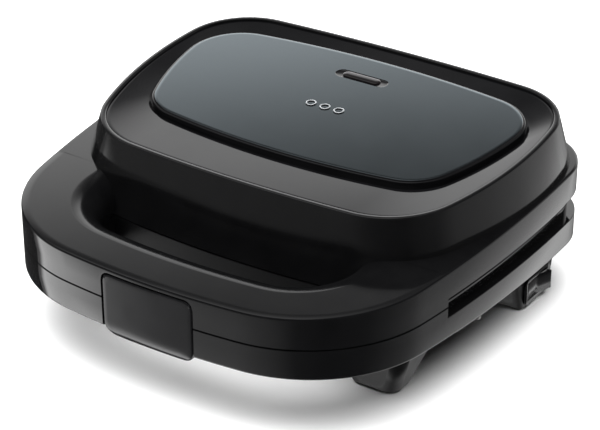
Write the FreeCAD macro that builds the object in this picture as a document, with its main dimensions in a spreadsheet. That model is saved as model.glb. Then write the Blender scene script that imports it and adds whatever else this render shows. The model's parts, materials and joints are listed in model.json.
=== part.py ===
import FreeCAD, Part
import math
import os
import Sketcher

# Donut maker: two hinged, clam-like halves with a loop handle at the front. Millimetres.
# X is to the right, -Y is the front (handle and latch), +Z is up. The origin is on the
# table, under the middle of the appliance.

Vector = FreeCAD.Vector
Rotation = FreeCAD.Rotation
Placement = FreeCAD.Placement

# An "oval" is a closed outline of eight tangent arcs: a crowned front, two crowned sides
# and a crowned rear, joined by corner arcs. Each oval has nine sizes with one prefix.
OVAL_KEYS = (
    "half_width", "front", "rear", "wide_at", "front_crown", "side_crown", "rear_crown",
    "front_corner", "rear_corner",
)

OVALS = {
    "band": (130, -127.4, 126.3, 53.8, 461.5, 751.7, 600, 77, 35.7),
    "waist": (127.4, -59.9, 122.3, 58, 558, 260, 700, 52, 38),
    "shoulder": (127.4, -55.2, 122.3, 58, 700, 260, 700, 50, 38),
    "cavity": (122.4, -56.7, 118.5, 54, 555, 500, 600, 50, 30),
    "rim": (121.2, -50.0, 118.6, 53.4, 905, 230, 1470, 47.7, 40.4),
    "island": (107, -15.1, 100.4, 76.8, 452.8, 189, 564, 29.7, 31.3),
    "belly_top": (125, -58, 121, 54, 558, 500, 600, 55, 33),
    "belly_bottom": (119, -54, 114, 54, 558, 500, 600, 50, 30),
    "opening": (75, -87.7, -34, -52, 430, 3000, 3000, 30, 18),
}

SIZES = {
    # levels and slopes of the two halves
    "parting_level": 52.6,
    "parting_gap": 0.3,
    "band_top_level": 74.0,
    "band_top_slope": 1.72,
    "band_bottom_level": 32.95,
    "band_bottom_slope": -1.15,
    "rim_level": 96.4,
    "rim_slope": 3.485,
    "rim_chamfer": 0.8,
    "belly_level": 20.0,
    "wall": 3.2,
    "thin_wall": 2.5,
    # generous reaches for tools that must pass right through something
    "big": 400,
    "far_below": 0,
    "far_above": 120,
    "through": 40,
    "overlap": 1.0,
    # recess that runs round the sides and the rear, half in each band
    "recess_depth": 4.5,
    "recess_front": -39.2,
    "recess_low": 46.5,
    "recess_high": 60.0,
    # handle loop
    "handle_roll": 16.0,
    "handle_under_roll": 6.0,
    "handle_pocket_top": 62.5,
    "handle_pocket_low": 43.0,
    "handle_pocket_wall": 6.5,
    "handle_pocket_rear": -66.0,
    "handle_pocket_middle": -109.5,
    "handle_pocket_middle_half": 34.0,
    "handle_cover_depth": 2.5,
    "handle_cover_gap": 0.2,
    # latch
    "latch_half_width": 27.9,
    "latch_gap": 0.8,
    "latch_top_gap": 0.9,
    "latch_top": 67.0,
    "latch_bottom": 29.5,
    "latch_thickness": 3.2,
    "latch_top_corner": 4.5,
    "latch_bottom_corner": 9.0,
    "latch_recess_rear": -121.0,
    "latch_slot_rear": -113.5,
    "latch_pivot_y": -124.3,
    "latch_pivot_z": 64.6,
    "latch_boss_radius": 2.4,
    "latch_pin_radius": 1.0,
    "latch_pin_half_length": 31.5,
    "latch_hook_top": 35.0,
    "latch_hook_tip": -115.5,
    "latch_hook_bend": 6.0,
    "latch_hook_nose": 3.0,
    "latch_bend_height": 8.0,
    "latch_ahead": 2.0,
    "catch_half_width": 20.0,
    "catch_low": 35.5,
    "catch_high": 38.0,
    "catch_front": -120.8,
    "catch_bite": 2.5,
    "catch_seat_drop": 3.0,
    "spring_radius": 1.75,
    "spring_wire": 0.3,
    "spring_pitch": 0.8,
    "spring_start": 8.0,
    "spring_length": 4.8,
    "spring_notch_radius": 2.3,
    "spring_notch_half": 4.0,
    "spring_gap": 0.8,
    "running_clearance": 0.05,
    # donut plates
    "plate_half_width": 108.0,
    "plate_half_depth": 73.0,
    "plate_middle": 31.0,
    "plate_corner": 32.0,
    "plate_thickness": 4.0,
    "lower_plate_top": 52.0,
    "upper_plate_bottom": 53.2,
    "mould_pitch_x": 70.0,
    "mould_pitch_y": 68.0,
    "mould_ring_radius": 20.0,
    "mould_section_radius": 11.0,
    "mould_shell_radius": 13.5,
    "plate_boss_extra": 2.0,
    "plate_boss_floor": 4.5,
    "frame_gap": 0.4,
    "frame_ledge": 3.0,
    "frame_depth": 5.2,
    # heating parts
    "reflector_half_width": 106.5,
    "reflector_half_depth": 71.0,
    "reflector_corner": 30.0,
    "reflector_wall": 0.8,
    "lower_reflector_floor": 29.0,
    "lower_reflector_top": 45.8,
    "upper_reflector_bottom": 59.6,
    "upper_reflector_roof": 77.0,
    "element_radius": 3.25,
    "element_gap": 0.3,
    "element_start": -92.0,
    "element_bend_at": 61.0,
    "element_pin_radius": 1.6,
    "element_pin_length": 8.0,
    "clamp_width": 10.0,
    "clamp_thickness": 1.2,
    "clamp_overhang": 6.0,
    "clamp_gap": 0.2,
    "boss_radius": 3.5,
    "thermostat_radius": 8.0,
    "thermostat_height": 9.0,
    "thermostat_gap": 0.1,
    "blade_width": 6.3,
    "blade_thickness": 0.8,
    "blade_length": 5.0,
    "blade_offset": 4.0,
    "fuse_radius": 2.0,
    "fuse_length": 8.0,
    "fuse_offset": 11.5,
    # fasteners
    "screw_radius": 1.5,
    "screw_clearance": 0.2,
    "screw_head_radius": 3.2,
    "screw_head_height": 2.0,
    "screw_length": 14.0,
    "screw_root": 0.5,
    "cover_screw_length": 16.0,
    "frame_head_radius": 2.4,
    "frame_head_height": 1.6,
    "boss_low": 31.0,
    "boss_top": 46.6,
    "lid_boss_top": 76.0,
    "boss_gap": 0.2,
    "lid_screw_hole_top": 72.0,
    "boss_side_x": 113.5,
    "boss_side_y": 10.0,
    "boss_rear_x": 111.0,
    "boss_rear_y": 96.0,
    "boss_front_x": 45.0,
    "boss_front_y": -48.0,
    "rib_low": 34.2,
    "rib_side_reach": 10.0,
    "rib_front_reach": 8.5,
    "rib_half_thickness": 1.0,
    # hinges
    "hinge_y": 121.8,
    "hinge_offset": 50.0,
    "knuckle_radius": 5.6,
    "hinge_pin_radius": 2.0,
    "lid_knuckle_half": 8.0,
    "base_knuckle_start": 8.3,
    "base_knuckle_end": 16.3,
    "hinge_notch_half": 17.3,
    "hinge_notch_front": 110.0,
    "hinge_leaf_front": 111.6,
    "hinge_leaf_rear": 113.9,
    "hinge_leaf_reach": 11.0,
    "hinge_arm_gap": 0.9,
    "hinge_ear_gap": 0.2,
    "hinge_leaf_gap": 0.1,
    "lid_leaf_drop": 1.1,
    "lid_ear_drop": 1.5,
    # top dish, inlay and lamp
    "rim_width": 3.3,
    "dish_gap": 0.1,
    "dish_lip": 0.7,
    "dish_depth": 7.0,
    "dish_edge_drop": 1.2,
    "dish_edge_overlap": 0.01,
    "dish_floor_drop": 3.0,
    "dish_foot_drop": 4.5,
    "island_height": 0.4,
    "inlay_border": 1.0,
    "inlay_thickness": 1.8,
    "inlay_height": 1.0,
    "lens_y": 76.9,
    "lens_half_length": 9.0,
    "lens_radius": 2.9,
    "lens_depth": 6.5,
    "lens_proud": 0.5,
    "badge_y": 38.7,
    "badge_pitch": 9.0,
    "badge_ring_radius": 2.6,
    "badge_section_radius": 0.45,
    "badge_height": 0.4,
    "badge_gap": 0.02,
    "board_half_length": 16.0,
    "board_half_width": 8.0,
    "board_thickness": 1.6,
    "board_level": 83.0,
    "lamp_radius": 2.8,
    "lamp_length": 13.0,
    # legs, feet and switch
    "foot_height": 1.6,
    "leg_top": 24.0,
    "front_leg_top": 33.0,
    "front_leg_corner": 7.0,
    "rear_leg_corner": 3.0,
    "foot_pad_radius": 6.5,
    "front_foot_x": 89.5,
    "front_foot_y": -46.0,
    "rear_foot_x": 106.7,
    "rear_foot_y": 71.0,
    "leg_pocket_near": 99.0,
    "leg_pocket_far": 115.9,
    "leg_pocket_half": 13.4,
    "leg_pocket_floor": 3.9,
    # vents and shelf in the belly pan
    "vent_half_width": 1.5,
    "vent_half_length": 25.0,
    "vent_pitch": 12.0,
    "shelf_half_length": 10.0,
    "shelf_front": 3.5,
    "shelf_rear": 0.5,
    # switch
    "switch_face": 118.4,
    "switch_y": 70.3,
    "switch_z": 10.6,
    "bezel_half_length": 14.0,
    "bezel_half_height": 8.0,
    "bezel_corner": 3.5,
    "bezel_thickness": 1.4,
    "bezel_depth": 13.0,
    "case_half_length": 12.8,
    "case_half_height": 6.5,
    "case_wall": 1.5,
    "case_clearance": 0.2,
    "rocker_half_opening": 11.7,
    "rocker_half_height": 5.4,
    "rocker_side_gap": 0.3,
    "rocker_pivot_x": 117.0,
    "rocker_reach": 11.4,
    "rocker_end": 11.0,
    "rocker_tip_angle": 65.8,
    "rocker_valley": 2.6,
    "rocker_rest_angle": -11.0,
    "rocker_pin_radius": 1.2,
    "rocker_pin_half": 6.0,
    "rocker_back": 5.5,
    "rocker_back_half": 4.0,
    "rocker_shoulder": 1.5,
    # electrics in the base
    "gland_x": 0.0,
    "gland_z": 38.4,
    "gland_radius": 6.0,
    "gland_bore": 3.6,
    "gland_flange_radius": 7.6,
    "gland_flange_thickness": 1.1,
    "gland_length": 13.0,
    "gland_rear": 127.4,
    "terminal_x": -18.0,
    "terminal_y": 109.0,
    "terminal_low": 33.5,
    "terminal_half_length": 13.0,
    "terminal_half_width": 5.0,
    "terminal_height": 11.0,
    "terminal_well_radius": 2.0,
    "terminal_well_depth": 5.0,
    "terminal_pitch": 8.0,
}

doc = FreeCAD.newDocument("donut_maker")
sheet = doc.addObject("Spreadsheet::Sheet", "Sizes")
parts = []


def fill_sheet():
    """Every driving dimension gets one row: its name, its value and an alias."""
    rows = dict(SIZES)
    for prefix, values in OVALS.items():
        for key, number in zip(OVAL_KEYS, values):
            rows[prefix + "_" + key] = number
    for row, (alias, number) in enumerate(rows.items(), start=1):
        sheet.set("A%d" % row, alias)
        sheet.set("B%d" % row, str(number))
        sheet.setAlias("B%d" % row, alias)
    doc.recompute()


def size(alias):
    return float(sheet.get(alias))


def bind(thing, **expressions):
    """Binds properties to sheet expressions. A double underscore stands for a dot."""
    for name, text in expressions.items():
        thing.setExpression(name.replace("__", "."), text)


def part(shape_object, label):
    """Marks a finished sub-part: its label is the name of its file."""
    shape_object.Label = label
    parts.append(shape_object)


# ---------------------------------------------------------------- sketches and pads


def new_body(name):
    return doc.addObject("PartDesign::Body", name)


def origin_plane(body, role):
    return [f for f in body.Origin.OriginFeatures if f.Role == role][0]


def new_sketch(body, name, role="XY_Plane", level="0", slope=None):
    """A sketch on an origin plane of its body, moved out by level and tilted about X."""
    sketch = body.newObject("Sketcher::SketchObject", name)
    sketch.AttachmentSupport = (origin_plane(body, role), [""])
    sketch.MapMode = "FlatFace"
    if slope:
        sketch.AttachmentOffset = Placement(Vector(), Rotation(Vector(1, 0, 0), size(slope)))
        bind(sketch, AttachmentOffset__Rotation__Angle="Sizes." + slope)
    bind(sketch, AttachmentOffset__Base__z=level)
    return sketch


def corner_centre(first, first_radius, second, second_radius, radius):
    """Centre of a circle that touches two larger circles from inside."""
    a = first_radius - radius
    b = second_radius - radius
    between = second - first
    distance = between.Length
    along = (a * a - b * b + distance * distance) / (2 * distance)
    off = math.sqrt(a * a - along * along)
    unit = between / distance
    normal = Vector(-unit.y, unit.x, 0)
    return first + unit * along + normal * off


def arc(centre, radius, start, end):
    circle = Part.Circle(centre, Vector(0, 0, 1), radius)
    return Part.ArcOfCircle(circle, angle_of(start - centre), angle_of(end - centre))


def angle_of(direction):
    return math.atan2(direction.y, direction.x)


def touch(centre, radius, corner):
    """The point where a corner circle touches the larger circle round it."""
    return centre + (corner - centre).normalize() * radius


def oval_arcs(prefix, inset):
    """The eight arcs of an oval in order, anticlockwise from the front."""
    v = {key: size(prefix + "_" + key) for key in OVAL_KEYS}
    front = Vector(0, v["front"] + v["front_crown"], 0)
    rear = Vector(0, v["rear"] - v["rear_crown"], 0)
    side = Vector(v["half_width"] - v["side_crown"], v["wide_at"], 0)
    front_radius = v["front_crown"] - inset
    side_radius = v["side_crown"] - inset
    rear_radius = v["rear_crown"] - inset
    front_corner = v["front_corner"] - inset
    rear_corner = v["rear_corner"] - inset
    low = corner_centre(front, front_radius, side, side_radius, front_corner)
    high = corner_centre(side, side_radius, rear, rear_radius, rear_corner)
    a = touch(front, front_radius, low)
    b = touch(side, side_radius, low)
    c = touch(side, side_radius, high)
    d = touch(rear, rear_radius, high)
    flip = lambda p: Vector(-p.x, p.y, 0)
    return [
        arc(front, front_radius, flip(a), a),
        arc(low, front_corner, a, b),
        arc(side, side_radius, b, c),
        arc(high, rear_corner, c, d),
        arc(rear, rear_radius, d, flip(d)),
        arc(flip(high), rear_corner, flip(d), flip(c)),
        arc(flip(side), side_radius, flip(c), flip(b)),
        arc(flip(low), front_corner, flip(b), flip(a)),
    ]


def draw_oval(sketch, prefix, insets=(), outsets=()):
    """Draws an oval, shrunk and grown by the named sizes, and ties its arcs to the sheet."""
    inset = sum(size(alias) for alias in insets) - sum(size(alias) for alias in outsets)
    less = "".join(" - Sizes." + alias for alias in insets)
    less += "".join(" + Sizes." + alias for alias in outsets)
    whole = "Sizes." + prefix + "_"
    for piece in oval_arcs(prefix, inset):
        sketch.addGeometry(piece, False)
    for index in range(8):
        sketch.addConstraint(Sketcher.Constraint("Tangent", index, 2, (index + 1) % 8, 1))
    for index in (0, 4):
        sketch.addConstraint(Sketcher.Constraint("PointOnObject", index, 3, -2))
    centres = {
        0: (None, whole + "front + " + whole + "front_crown"),
        2: (whole + "half_width - " + whole + "side_crown", whole + "wide_at"),
        4: (None, whole + "rear - " + whole + "rear_crown"),
        6: (whole + "side_crown - " + whole + "half_width", whole + "wide_at"),
    }
    for index, (across, along) in centres.items():
        centre = sketch.Geometry[index].Center
        if across:
            tie(sketch, Sketcher.Constraint("DistanceX", -1, 1, index, 3, centre.x), across)
        tie(sketch, Sketcher.Constraint("DistanceY", -1, 1, index, 3, centre.y), along)
    keys = {
        0: "front_crown", 1: "front_corner", 2: "side_crown", 3: "rear_corner",
        4: "rear_crown", 5: "rear_corner", 6: "side_crown", 7: "front_corner",
    }
    for index, key in keys.items():
        radius = sketch.Geometry[index].Radius
        tie(sketch, Sketcher.Constraint("Radius", index, radius), whole + key + less)


def tie(sketch, constraint, expression):
    """Adds a driving constraint whose value follows the sheet."""
    index = sketch.addConstraint(constraint)
    sketch.setExpression("Constraints[%d]" % index, expression)


def draw_outline(sketch, corners):
    """A closed outline with straight sides: (x, y, radius) for each corner, anticlockwise."""
    count = len(corners)
    pieces = []
    joints = []
    for index in range(count):
        x, y, radius = corners[index]
        here = Vector(x, y, 0)
        before = (Vector(*corners[index - 1][:2], 0) - here).normalize()
        after = (Vector(*corners[(index + 1) % count][:2], 0) - here).normalize()
        if radius == 0:
            joints.append((here, here))
            pieces.append(None)
            continue
        half = before.getAngle(after) / 2
        start = here + before * (radius / math.tan(half))
        end = here + after * (radius / math.tan(half))
        centre = here + (before + after).normalize() * (radius / math.sin(half))
        turns_left = before.cross(after).z < 0
        first, last = (start, end) if turns_left else (end, start)
        pieces.append(arc(centre, radius, first, last))
        joints.append((start, end))
    for index in range(count):
        if pieces[index]:
            sketch.addGeometry(pieces[index], False)
        side = Part.LineSegment(joints[index][1], joints[(index + 1) % count][0])
        sketch.addGeometry(side, False)
    for index in range(len(sketch.Geometry)):
        sketch.addConstraint(Sketcher.Constraint("Block", index))


def box_corners(x, y, radius):
    """The corners of a rectangle with all its corners rounded alike."""
    return [
        (x[0], y[0], radius),
        (x[1], y[0], radius),
        (x[1], y[1], radius),
        (x[0], y[1], radius),
    ]


def outline_prism(name, role, corners, start, length, midplane=False):
    """A pad of a straight-sided outline. XZ_Plane looks to the front, so it pads to -Y."""
    body = new_body(name)
    sketch = new_sketch(body, name + "_outline", role, level=start)
    draw_outline(sketch, corners)
    pad = body.newObject("PartDesign::Pad", name + "_pad")
    pad.Profile = sketch
    pad.Midplane = midplane
    bind(pad, Length=length)
    return body


def oval_prism(name, prefix, low, high, insets=(), outsets=()):
    """An upright prism with an oval outline, between two levels."""
    body = new_body(name)
    sketch = new_sketch(body, name + "_outline", level=low)
    draw_oval(sketch, prefix, insets, outsets)
    pad = body.newObject("PartDesign::Pad", name + "_pad")
    pad.Profile = sketch
    bind(pad, Length="(" + high + ") - (" + low + ")")
    return body


def oval_loft(name, sections):
    """A ruled loft through ovals: (prefix, level, slope or None, insets) for each."""
    body = new_body(name)
    sketches = []
    for index, (prefix, level, slope, insets) in enumerate(sections):
        sketch = new_sketch(body, "%s_section_%d" % (name, index), level=level, slope=slope)
        draw_oval(sketch, prefix, insets)
        sketches.append(sketch)
    doc.recompute()
    loft = body.newObject("PartDesign::AdditiveLoft", name + "_loft")
    loft.Profile = sketches[0]
    loft.Sections = sketches[1:]
    loft.Ruled = True
    return body


def sloped_prism(name, prefix, level, slope, low, high, insets=()):
    """A prism that stands square on a sloping plane, from low to high above that plane."""
    body = new_body(name)
    sketch = new_sketch(body, name + "_outline", level="%s + (%s)" % (level, low), slope=slope)
    draw_oval(sketch, prefix, insets)
    pad = body.newObject("PartDesign::Pad", name + "_pad")
    pad.Profile = sketch
    bind(pad, Length="(" + high + ") - (" + low + ")")
    return body


# ---------------------------------------------------------------- solids and booleans


def block(name, x, y, z):
    """A box between two expressions on each axis."""
    box = doc.addObject("Part::Box", name)
    bind(
        box,
        Length="(%s) - (%s)" % (x[1], x[0]),
        Width="(%s) - (%s)" % (y[1], y[0]),
        Height="(%s) - (%s)" % (z[1], z[0]),
        Placement__Base__x=x[0],
        Placement__Base__y=y[0],
        Placement__Base__z=z[0],
    )
    return box


def rounded_block(name, x, y, z, radius):
    """A box with its upright edges rounded."""
    box = block(name + "_block", x, y, z)
    doc.recompute()
    upright = [
        index
        for index, edge in enumerate(box.Shape.Edges, start=1)
        if abs(edge.tangentAt(edge.FirstParameter).z) > 0.99
    ]
    rounded = doc.addObject("Part::Fillet", name)
    rounded.Base = box
    rounded.Edges = [(index, size(radius), size(radius)) for index in upright]
    return rounded


AXES = {
    "x": Rotation(Vector(0, 1, 0), 90),
    "y": Rotation(Vector(1, 0, 0), -90),
    "z": Rotation(),
}


def rod(name, radius, length, start, axis="z"):
    """A cylinder that begins at start and runs along +X, +Y, +Z or a turned +Z."""
    cylinder = doc.addObject("Part::Cylinder", name)
    turn = AXES[axis] if isinstance(axis, str) else axis
    cylinder.Placement = Placement(Vector(), turn)
    bind(
        cylinder,
        Radius=radius,
        Height=length,
        Placement__Base__x=start[0],
        Placement__Base__y=start[1],
        Placement__Base__z=start[2],
    )
    return cylinder


def ring(name, radius, section, centre):
    torus = doc.addObject("Part::Torus", name)
    bind(
        torus,
        Radius1=radius,
        Radius2=section,
        Placement__Base__x=centre[0],
        Placement__Base__y=centre[1],
        Placement__Base__z=centre[2],
    )
    return torus


def sloped_slab(name, level, slope, height):
    """A very large slab on a sloping plane: above it, or below it when height is negative."""
    slab = doc.addObject("Part::Box", name)
    span = size("big")
    turn = Rotation(Vector(1, 0, 0), size(slope))
    drop = min(0, height)
    corner = Vector(0, 0, size(level)) + turn.multVec(Vector(-span / 2, -span / 2, drop))
    slab.Placement = Placement(corner, turn)
    slab.Length = span
    slab.Width = span
    slab.Height = abs(height)
    return slab


def fuse(name, *shapes):
    joined = doc.addObject("Part::MultiFuse", name)
    joined.Shapes = list(shapes)
    joined.Refine = True
    return joined


def cut(name, base, *tools):
    """Takes one or more tools away from base."""
    tool = tools[0] if len(tools) == 1 else fuse(name + "_tools", *tools)
    result = doc.addObject("Part::Cut", name)
    result.Base = base
    result.Tool = tool
    return result


def common(name, *shapes):
    shared = doc.addObject("Part::MultiCommon", name)
    shared.Shapes = list(shapes)
    return shared


def group(name, *shapes):
    """Separate solids that share one node."""
    held = doc.addObject("Part::Compound", name)
    held.Links = list(shapes)
    return held


def fillet_where(name, base, radius, wanted):
    """Rounds the edges of base that wanted(edge) accepts."""
    doc.recompute()
    chosen = [i for i, edge in enumerate(base.Shape.Edges, start=1) if wanted(edge)]
    rounded = doc.addObject("Part::Fillet", name)
    rounded.Base = base
    rounded.Edges = [(index, radius, radius) for index in chosen]
    return rounded


# ---------------------------------------------------------------- shared tools


LID_LOW = "Sizes.parting_level + Sizes.parting_gap"
BASE_TOP = "Sizes.parting_level - Sizes.parting_gap"
FAR_BELOW = "Sizes.far_below"
FAR_ABOVE = "Sizes.far_above"
SIDES = {"left": -1, "right": 1}


def loop_edge(edge, level, slope):
    """True for an edge of the finger opening that lies on the given sloping plane."""
    box = edge.BoundBox
    inside = abs(box.XMax) < 80 and abs(box.XMin) < 80 and box.YMin > -90 and box.YMax < -30
    rise = math.tan(math.radians(size(slope)))
    off = [abs(v.Z - size(level) - rise * v.Y) for v in edge.Vertexes]
    return inside and max(off) < 0.05


def recess_ring(name, low, high):
    """The groove round the sides and the rear: all that lies outside the inset band."""
    outer = block(
        name + "_outer",
        ("-Sizes.big / 2", "Sizes.big / 2"),
        ("Sizes.recess_front", "Sizes.big / 2"),
        (low, high),
    )
    core = oval_prism(name + "_core", "band", low + " - 1", high + " + 1", ("recess_depth",))
    return cut(name, outer, core)


def handle_channel(name, low, high, gap=""):
    """The curved hollow inside one half of the handle loop, or the cover that closes it."""
    gaps = (gap,) if gap else ()
    channel = oval_prism(name + "_outer", "band", low, high, ("wall",) + gaps)
    around = oval_prism(
        name + "_around", "opening", low + " - 1", high + " + 1", (), ("handle_pocket_wall",) + gaps
    )
    extra = " + Sizes." + gap if gap else ""
    rear = block(
        name + "_rear",
        ("-Sizes.big / 2", "Sizes.big / 2"),
        ("Sizes.handle_pocket_rear" + (" - Sizes." + gap if gap else ""), "Sizes.big / 2"),
        (low + " - 1", high + " + 1"),
    )
    middle = block(
        name + "_middle",
        (
            "-Sizes.handle_pocket_middle_half" + minus(extra),
            "Sizes.handle_pocket_middle_half" + extra,
        ),
        ("-Sizes.big / 2", "Sizes.handle_pocket_middle" + extra),
        (low + " - 1", high + " + 1"),
    )
    return cut(name, channel, around, rear, middle)


def boss_places():
    """Where the six screw bosses stand: (side of the middle, place), in pairs."""
    return [(sign, place) for place in ("side", "rear", "front") for sign in (-1, 1)]


def boss_at(sign, place):
    return "%d * Sizes.boss_%s_x" % (sign, place), "Sizes.boss_%s_y" % place


def mould_places():
    for column in (-1, 0, 1):
        for row in (-1, 1):
            yield (
                "%d * Sizes.mould_pitch_x" % column,
                "Sizes.plate_middle + %d * Sizes.mould_pitch_y / 2" % row,
            )


def plate_block(name, low, high, shrink="0", radius="plate_corner"):
    """The rounded outline of a donut plate as a solid, shrunk or grown all round."""
    return rounded_block(
        name,
        ("-Sizes.plate_half_width + " + shrink, "Sizes.plate_half_width - (" + shrink + ")"),
        (
            "Sizes.plate_middle - Sizes.plate_half_depth + " + shrink,
            "Sizes.plate_middle + Sizes.plate_half_depth - (" + shrink + ")",
        ),
        (low, high),
        radius,
    )


# ---------------------------------------------------------------- base


def hinge_notches(name, low, high):
    """Room in a shell's rear wall for both hinges."""
    notches = []
    for side, sign in SIDES.items():
        middle = "%d * Sizes.hinge_offset" % sign
        notches.append(
            block(
                "%s_%s" % (name, side),
                (middle + " - Sizes.hinge_notch_half", middle + " + Sizes.hinge_notch_half"),
                ("Sizes.hinge_notch_front", "Sizes.big / 2"),
                (low, high),
            )
        )
    return notches


def bosses(name, low, high, wall_low):
    """Six screw bosses, each tied to the shell's wall by a rib."""
    pieces = []
    half = "Sizes.rib_half_thickness"
    for index, (sign, place) in enumerate(boss_places()):
        x, y = boss_at(sign, place)
        pieces.append(
            rod(
                "%s_boss_%d" % (name, index),
                "Sizes.boss_radius",
                "(%s) - (%s)" % (high, low),
                (x, y, low),
            )
        )
        if place == "front":
            span_x = (x + " - " + half, x + " + " + half)
            span_y = (y + " - Sizes.rib_front_reach", y)
        else:
            far = "%s + %d * Sizes.rib_side_reach" % (x, sign)
            span_x = (far, x) if sign < 0 else (x, far)
            span_y = (y + " - " + half, y + " + " + half)
        pieces.append(block("%s_rib_%d" % (name, index), span_x, span_y, (wall_low, high)))
    return pieces


def screw_holes(name, low, high, radius):
    return [
        rod(
            "%s_%d" % (name, index), radius, "(%s) - (%s)" % (high, low),
            boss_at(*place) + (low,),
        )
        for index, place in enumerate(boss_places())
    ]


def base_shell():
    """The lower band with its half of the handle loop, and the wall round the works."""
    outer = oval_prism("base_band", "band", "Sizes.belly_level", BASE_TOP)
    loop = oval_prism("base_loop", "opening", FAR_BELOW, FAR_ABOVE)
    below = sloped_slab("base_below", "band_bottom_level", "band_bottom_slope", -size("through"))
    band = cut("base_band_cut", outer, loop, below)
    rolled = fillet_where(
        "base_band_rolled",
        band,
        size("handle_under_roll"),
        lambda edge: loop_edge(edge, "band_bottom_level", "band_bottom_slope"),
    )
    waist = oval_prism("base_waist", "waist", "Sizes.belly_level", BASE_TOP)
    trimmed = cut("base_waist_cut", waist, below)
    whole = fuse("base_whole", rolled, trimmed)
    cavity = oval_prism("base_cavity", "cavity", FAR_BELOW, FAR_ABOVE)
    pocket = handle_channel("base_pocket", FAR_BELOW, "Sizes.handle_pocket_low")
    recess = recess_ring("base_recess", "Sizes.recess_low", BASE_TOP + " + 1")
    slot = block(
        "base_latch_slot",
        ("-Sizes.latch_half_width - Sizes.latch_gap", "Sizes.latch_half_width + Sizes.latch_gap"),
        ("-Sizes.big / 2", "Sizes.latch_slot_rear"),
        (FAR_BELOW, FAR_ABOVE),
    )
    catch_seat = block(
        "base_catch_seat",
        ("-Sizes.catch_half_width", "Sizes.catch_half_width"),
        ("Sizes.catch_front", "Sizes.latch_slot_rear + Sizes.catch_bite"),
        ("Sizes.catch_low - Sizes.catch_seat_drop", "Sizes.catch_high"),
    )
    notches = hinge_notches("base_notch", "Sizes.recess_low", BASE_TOP + " + 1")
    gland = rod(
        "base_gland_hole", "Sizes.gland_radius", "Sizes.through",
        ("Sizes.gland_x", "Sizes.gland_rear - Sizes.through / 2", "Sizes.gland_z"), "y",
    )
    hollow = cut(
        "base_hollow", whole, cavity, pocket, recess, slot, catch_seat, gland, *notches
    )
    posts = fuse(
        "base_posts", *bosses("base", "Sizes.boss_low", "Sizes.boss_top", "Sizes.rib_low")
    )
    inside = oval_prism("base_inside", "cavity", FAR_BELOW, FAR_ABOVE)
    posts_in = common("base_posts_in", posts, inside)
    joined = fuse("base_joined", hollow, posts_in)
    holes = screw_holes(
        "base_hole", "Sizes.belly_level", "Sizes.boss_top + Sizes.overlap", "Sizes.screw_radius"
    )
    part(cut("base_shell", joined, *holes), "base_shell")


def handle_covers():
    """Plates that close the hollow of each half of the handle loop."""
    lid = handle_channel(
        "lid_cover", LID_LOW, LID_LOW + " + Sizes.handle_cover_depth", "handle_cover_gap"
    )
    part(lid, "lid_handle_cover")
    flat = handle_channel("base_cover", "Sizes.belly_level", "Sizes.recess_high", "handle_cover_gap")
    slope_low = sloped_slab(
        "base_cover_low", "band_bottom_level", "band_bottom_slope", size("handle_cover_depth")
    )
    part(common("base_handle_cover", flat, slope_low), "base_handle_cover")


def leg(name, foot, head, top, corner):
    """A tapered leg between a small foot outline and a wider head outline."""
    body = new_body(name)
    sketches = []
    for index, (box, level) in enumerate(((foot, "Sizes.foot_height"), (head, top))):
        sketch = new_sketch(body, "%s_section_%d" % (name, index), level=level)
        draw_outline(sketch, box_corners(box[:2], box[2:], corner))
        sketches.append(sketch)
    doc.recompute()
    loft = body.newObject("PartDesign::AdditiveLoft", name + "_loft")
    loft.Profile = sketches[0]
    loft.Sections = sketches[1:]
    loft.Ruled = True
    return body


# The plan rectangles of the legs on the right: (near x, far x, front, rear), at the foot
# and at the head.
LEG_PLANS = {
    "front": ((75, 104, -56, -36), (69, 114, -63, -18)),
    "rear": ((95, SIZES["switch_face"], 54, 88), (92, SIZES["switch_face"], 48, 93)),
}
LEG_TOPS = {"front": "front_leg_top", "rear": "leg_top"}


def mirrored_box(sign, plan):
    """A plan rectangle on the left or the right: (low x, high x, low y, high y)."""
    near, far, front, rear = plan
    return (min(sign * near, sign * far), max(sign * near, sign * far), front, rear)


def legs():
    return [
        leg(
            "%s_leg_%s" % (end, side), mirrored_box(sign, foot), mirrored_box(sign, head),
            "Sizes." + LEG_TOPS[end], size(end + "_leg_corner"),
        )
        for side, sign in SIDES.items()
        for end, (foot, head) in LEG_PLANS.items()
    ]


def cover_cuts():
    """The pockets in the rear legs, the window for the switch and the row of vents."""
    pockets = []
    for side, sign in SIDES.items():
        near, far = (
            "%d * Sizes.leg_pocket_%s" % (sign, end)
            for end in (("near", "far") if sign > 0 else ("far", "near"))
        )
        pockets.append(
            block(
                "cover_pocket_" + side,
                (near, far),
                ("Sizes.switch_y - Sizes.leg_pocket_half", "Sizes.switch_y + Sizes.leg_pocket_half"),
                ("Sizes.leg_pocket_floor", "Sizes.belly_level + 2 * Sizes.thin_wall"),
            )
        )
    length = "Sizes.case_half_length + Sizes.case_clearance"
    height = "Sizes.case_half_height + Sizes.case_clearance"
    window = block(
        "cover_switch_window",
        ("Sizes.leg_pocket_far - Sizes.thin_wall", "Sizes.switch_face + Sizes.overlap"),
        ("Sizes.switch_y - (%s)" % length, "Sizes.switch_y + " + length),
        ("Sizes.switch_z - (%s)" % height, "Sizes.switch_z + " + height),
    )
    vents = []
    for index in range(-5, 6):
        middle = "%d * Sizes.vent_pitch" % index
        vents.append(
            block(
                "cover_vent_%d" % (index + 5),
                (middle + " - Sizes.vent_half_width", middle + " + Sizes.vent_half_width"),
                (
                    "Sizes.plate_middle - Sizes.vent_half_length",
                    "Sizes.plate_middle + Sizes.vent_half_length",
                ),
                (FAR_BELOW, "Sizes.belly_level + 2 * Sizes.thin_wall"),
            )
        )
    return pockets + [window] + vents


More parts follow.
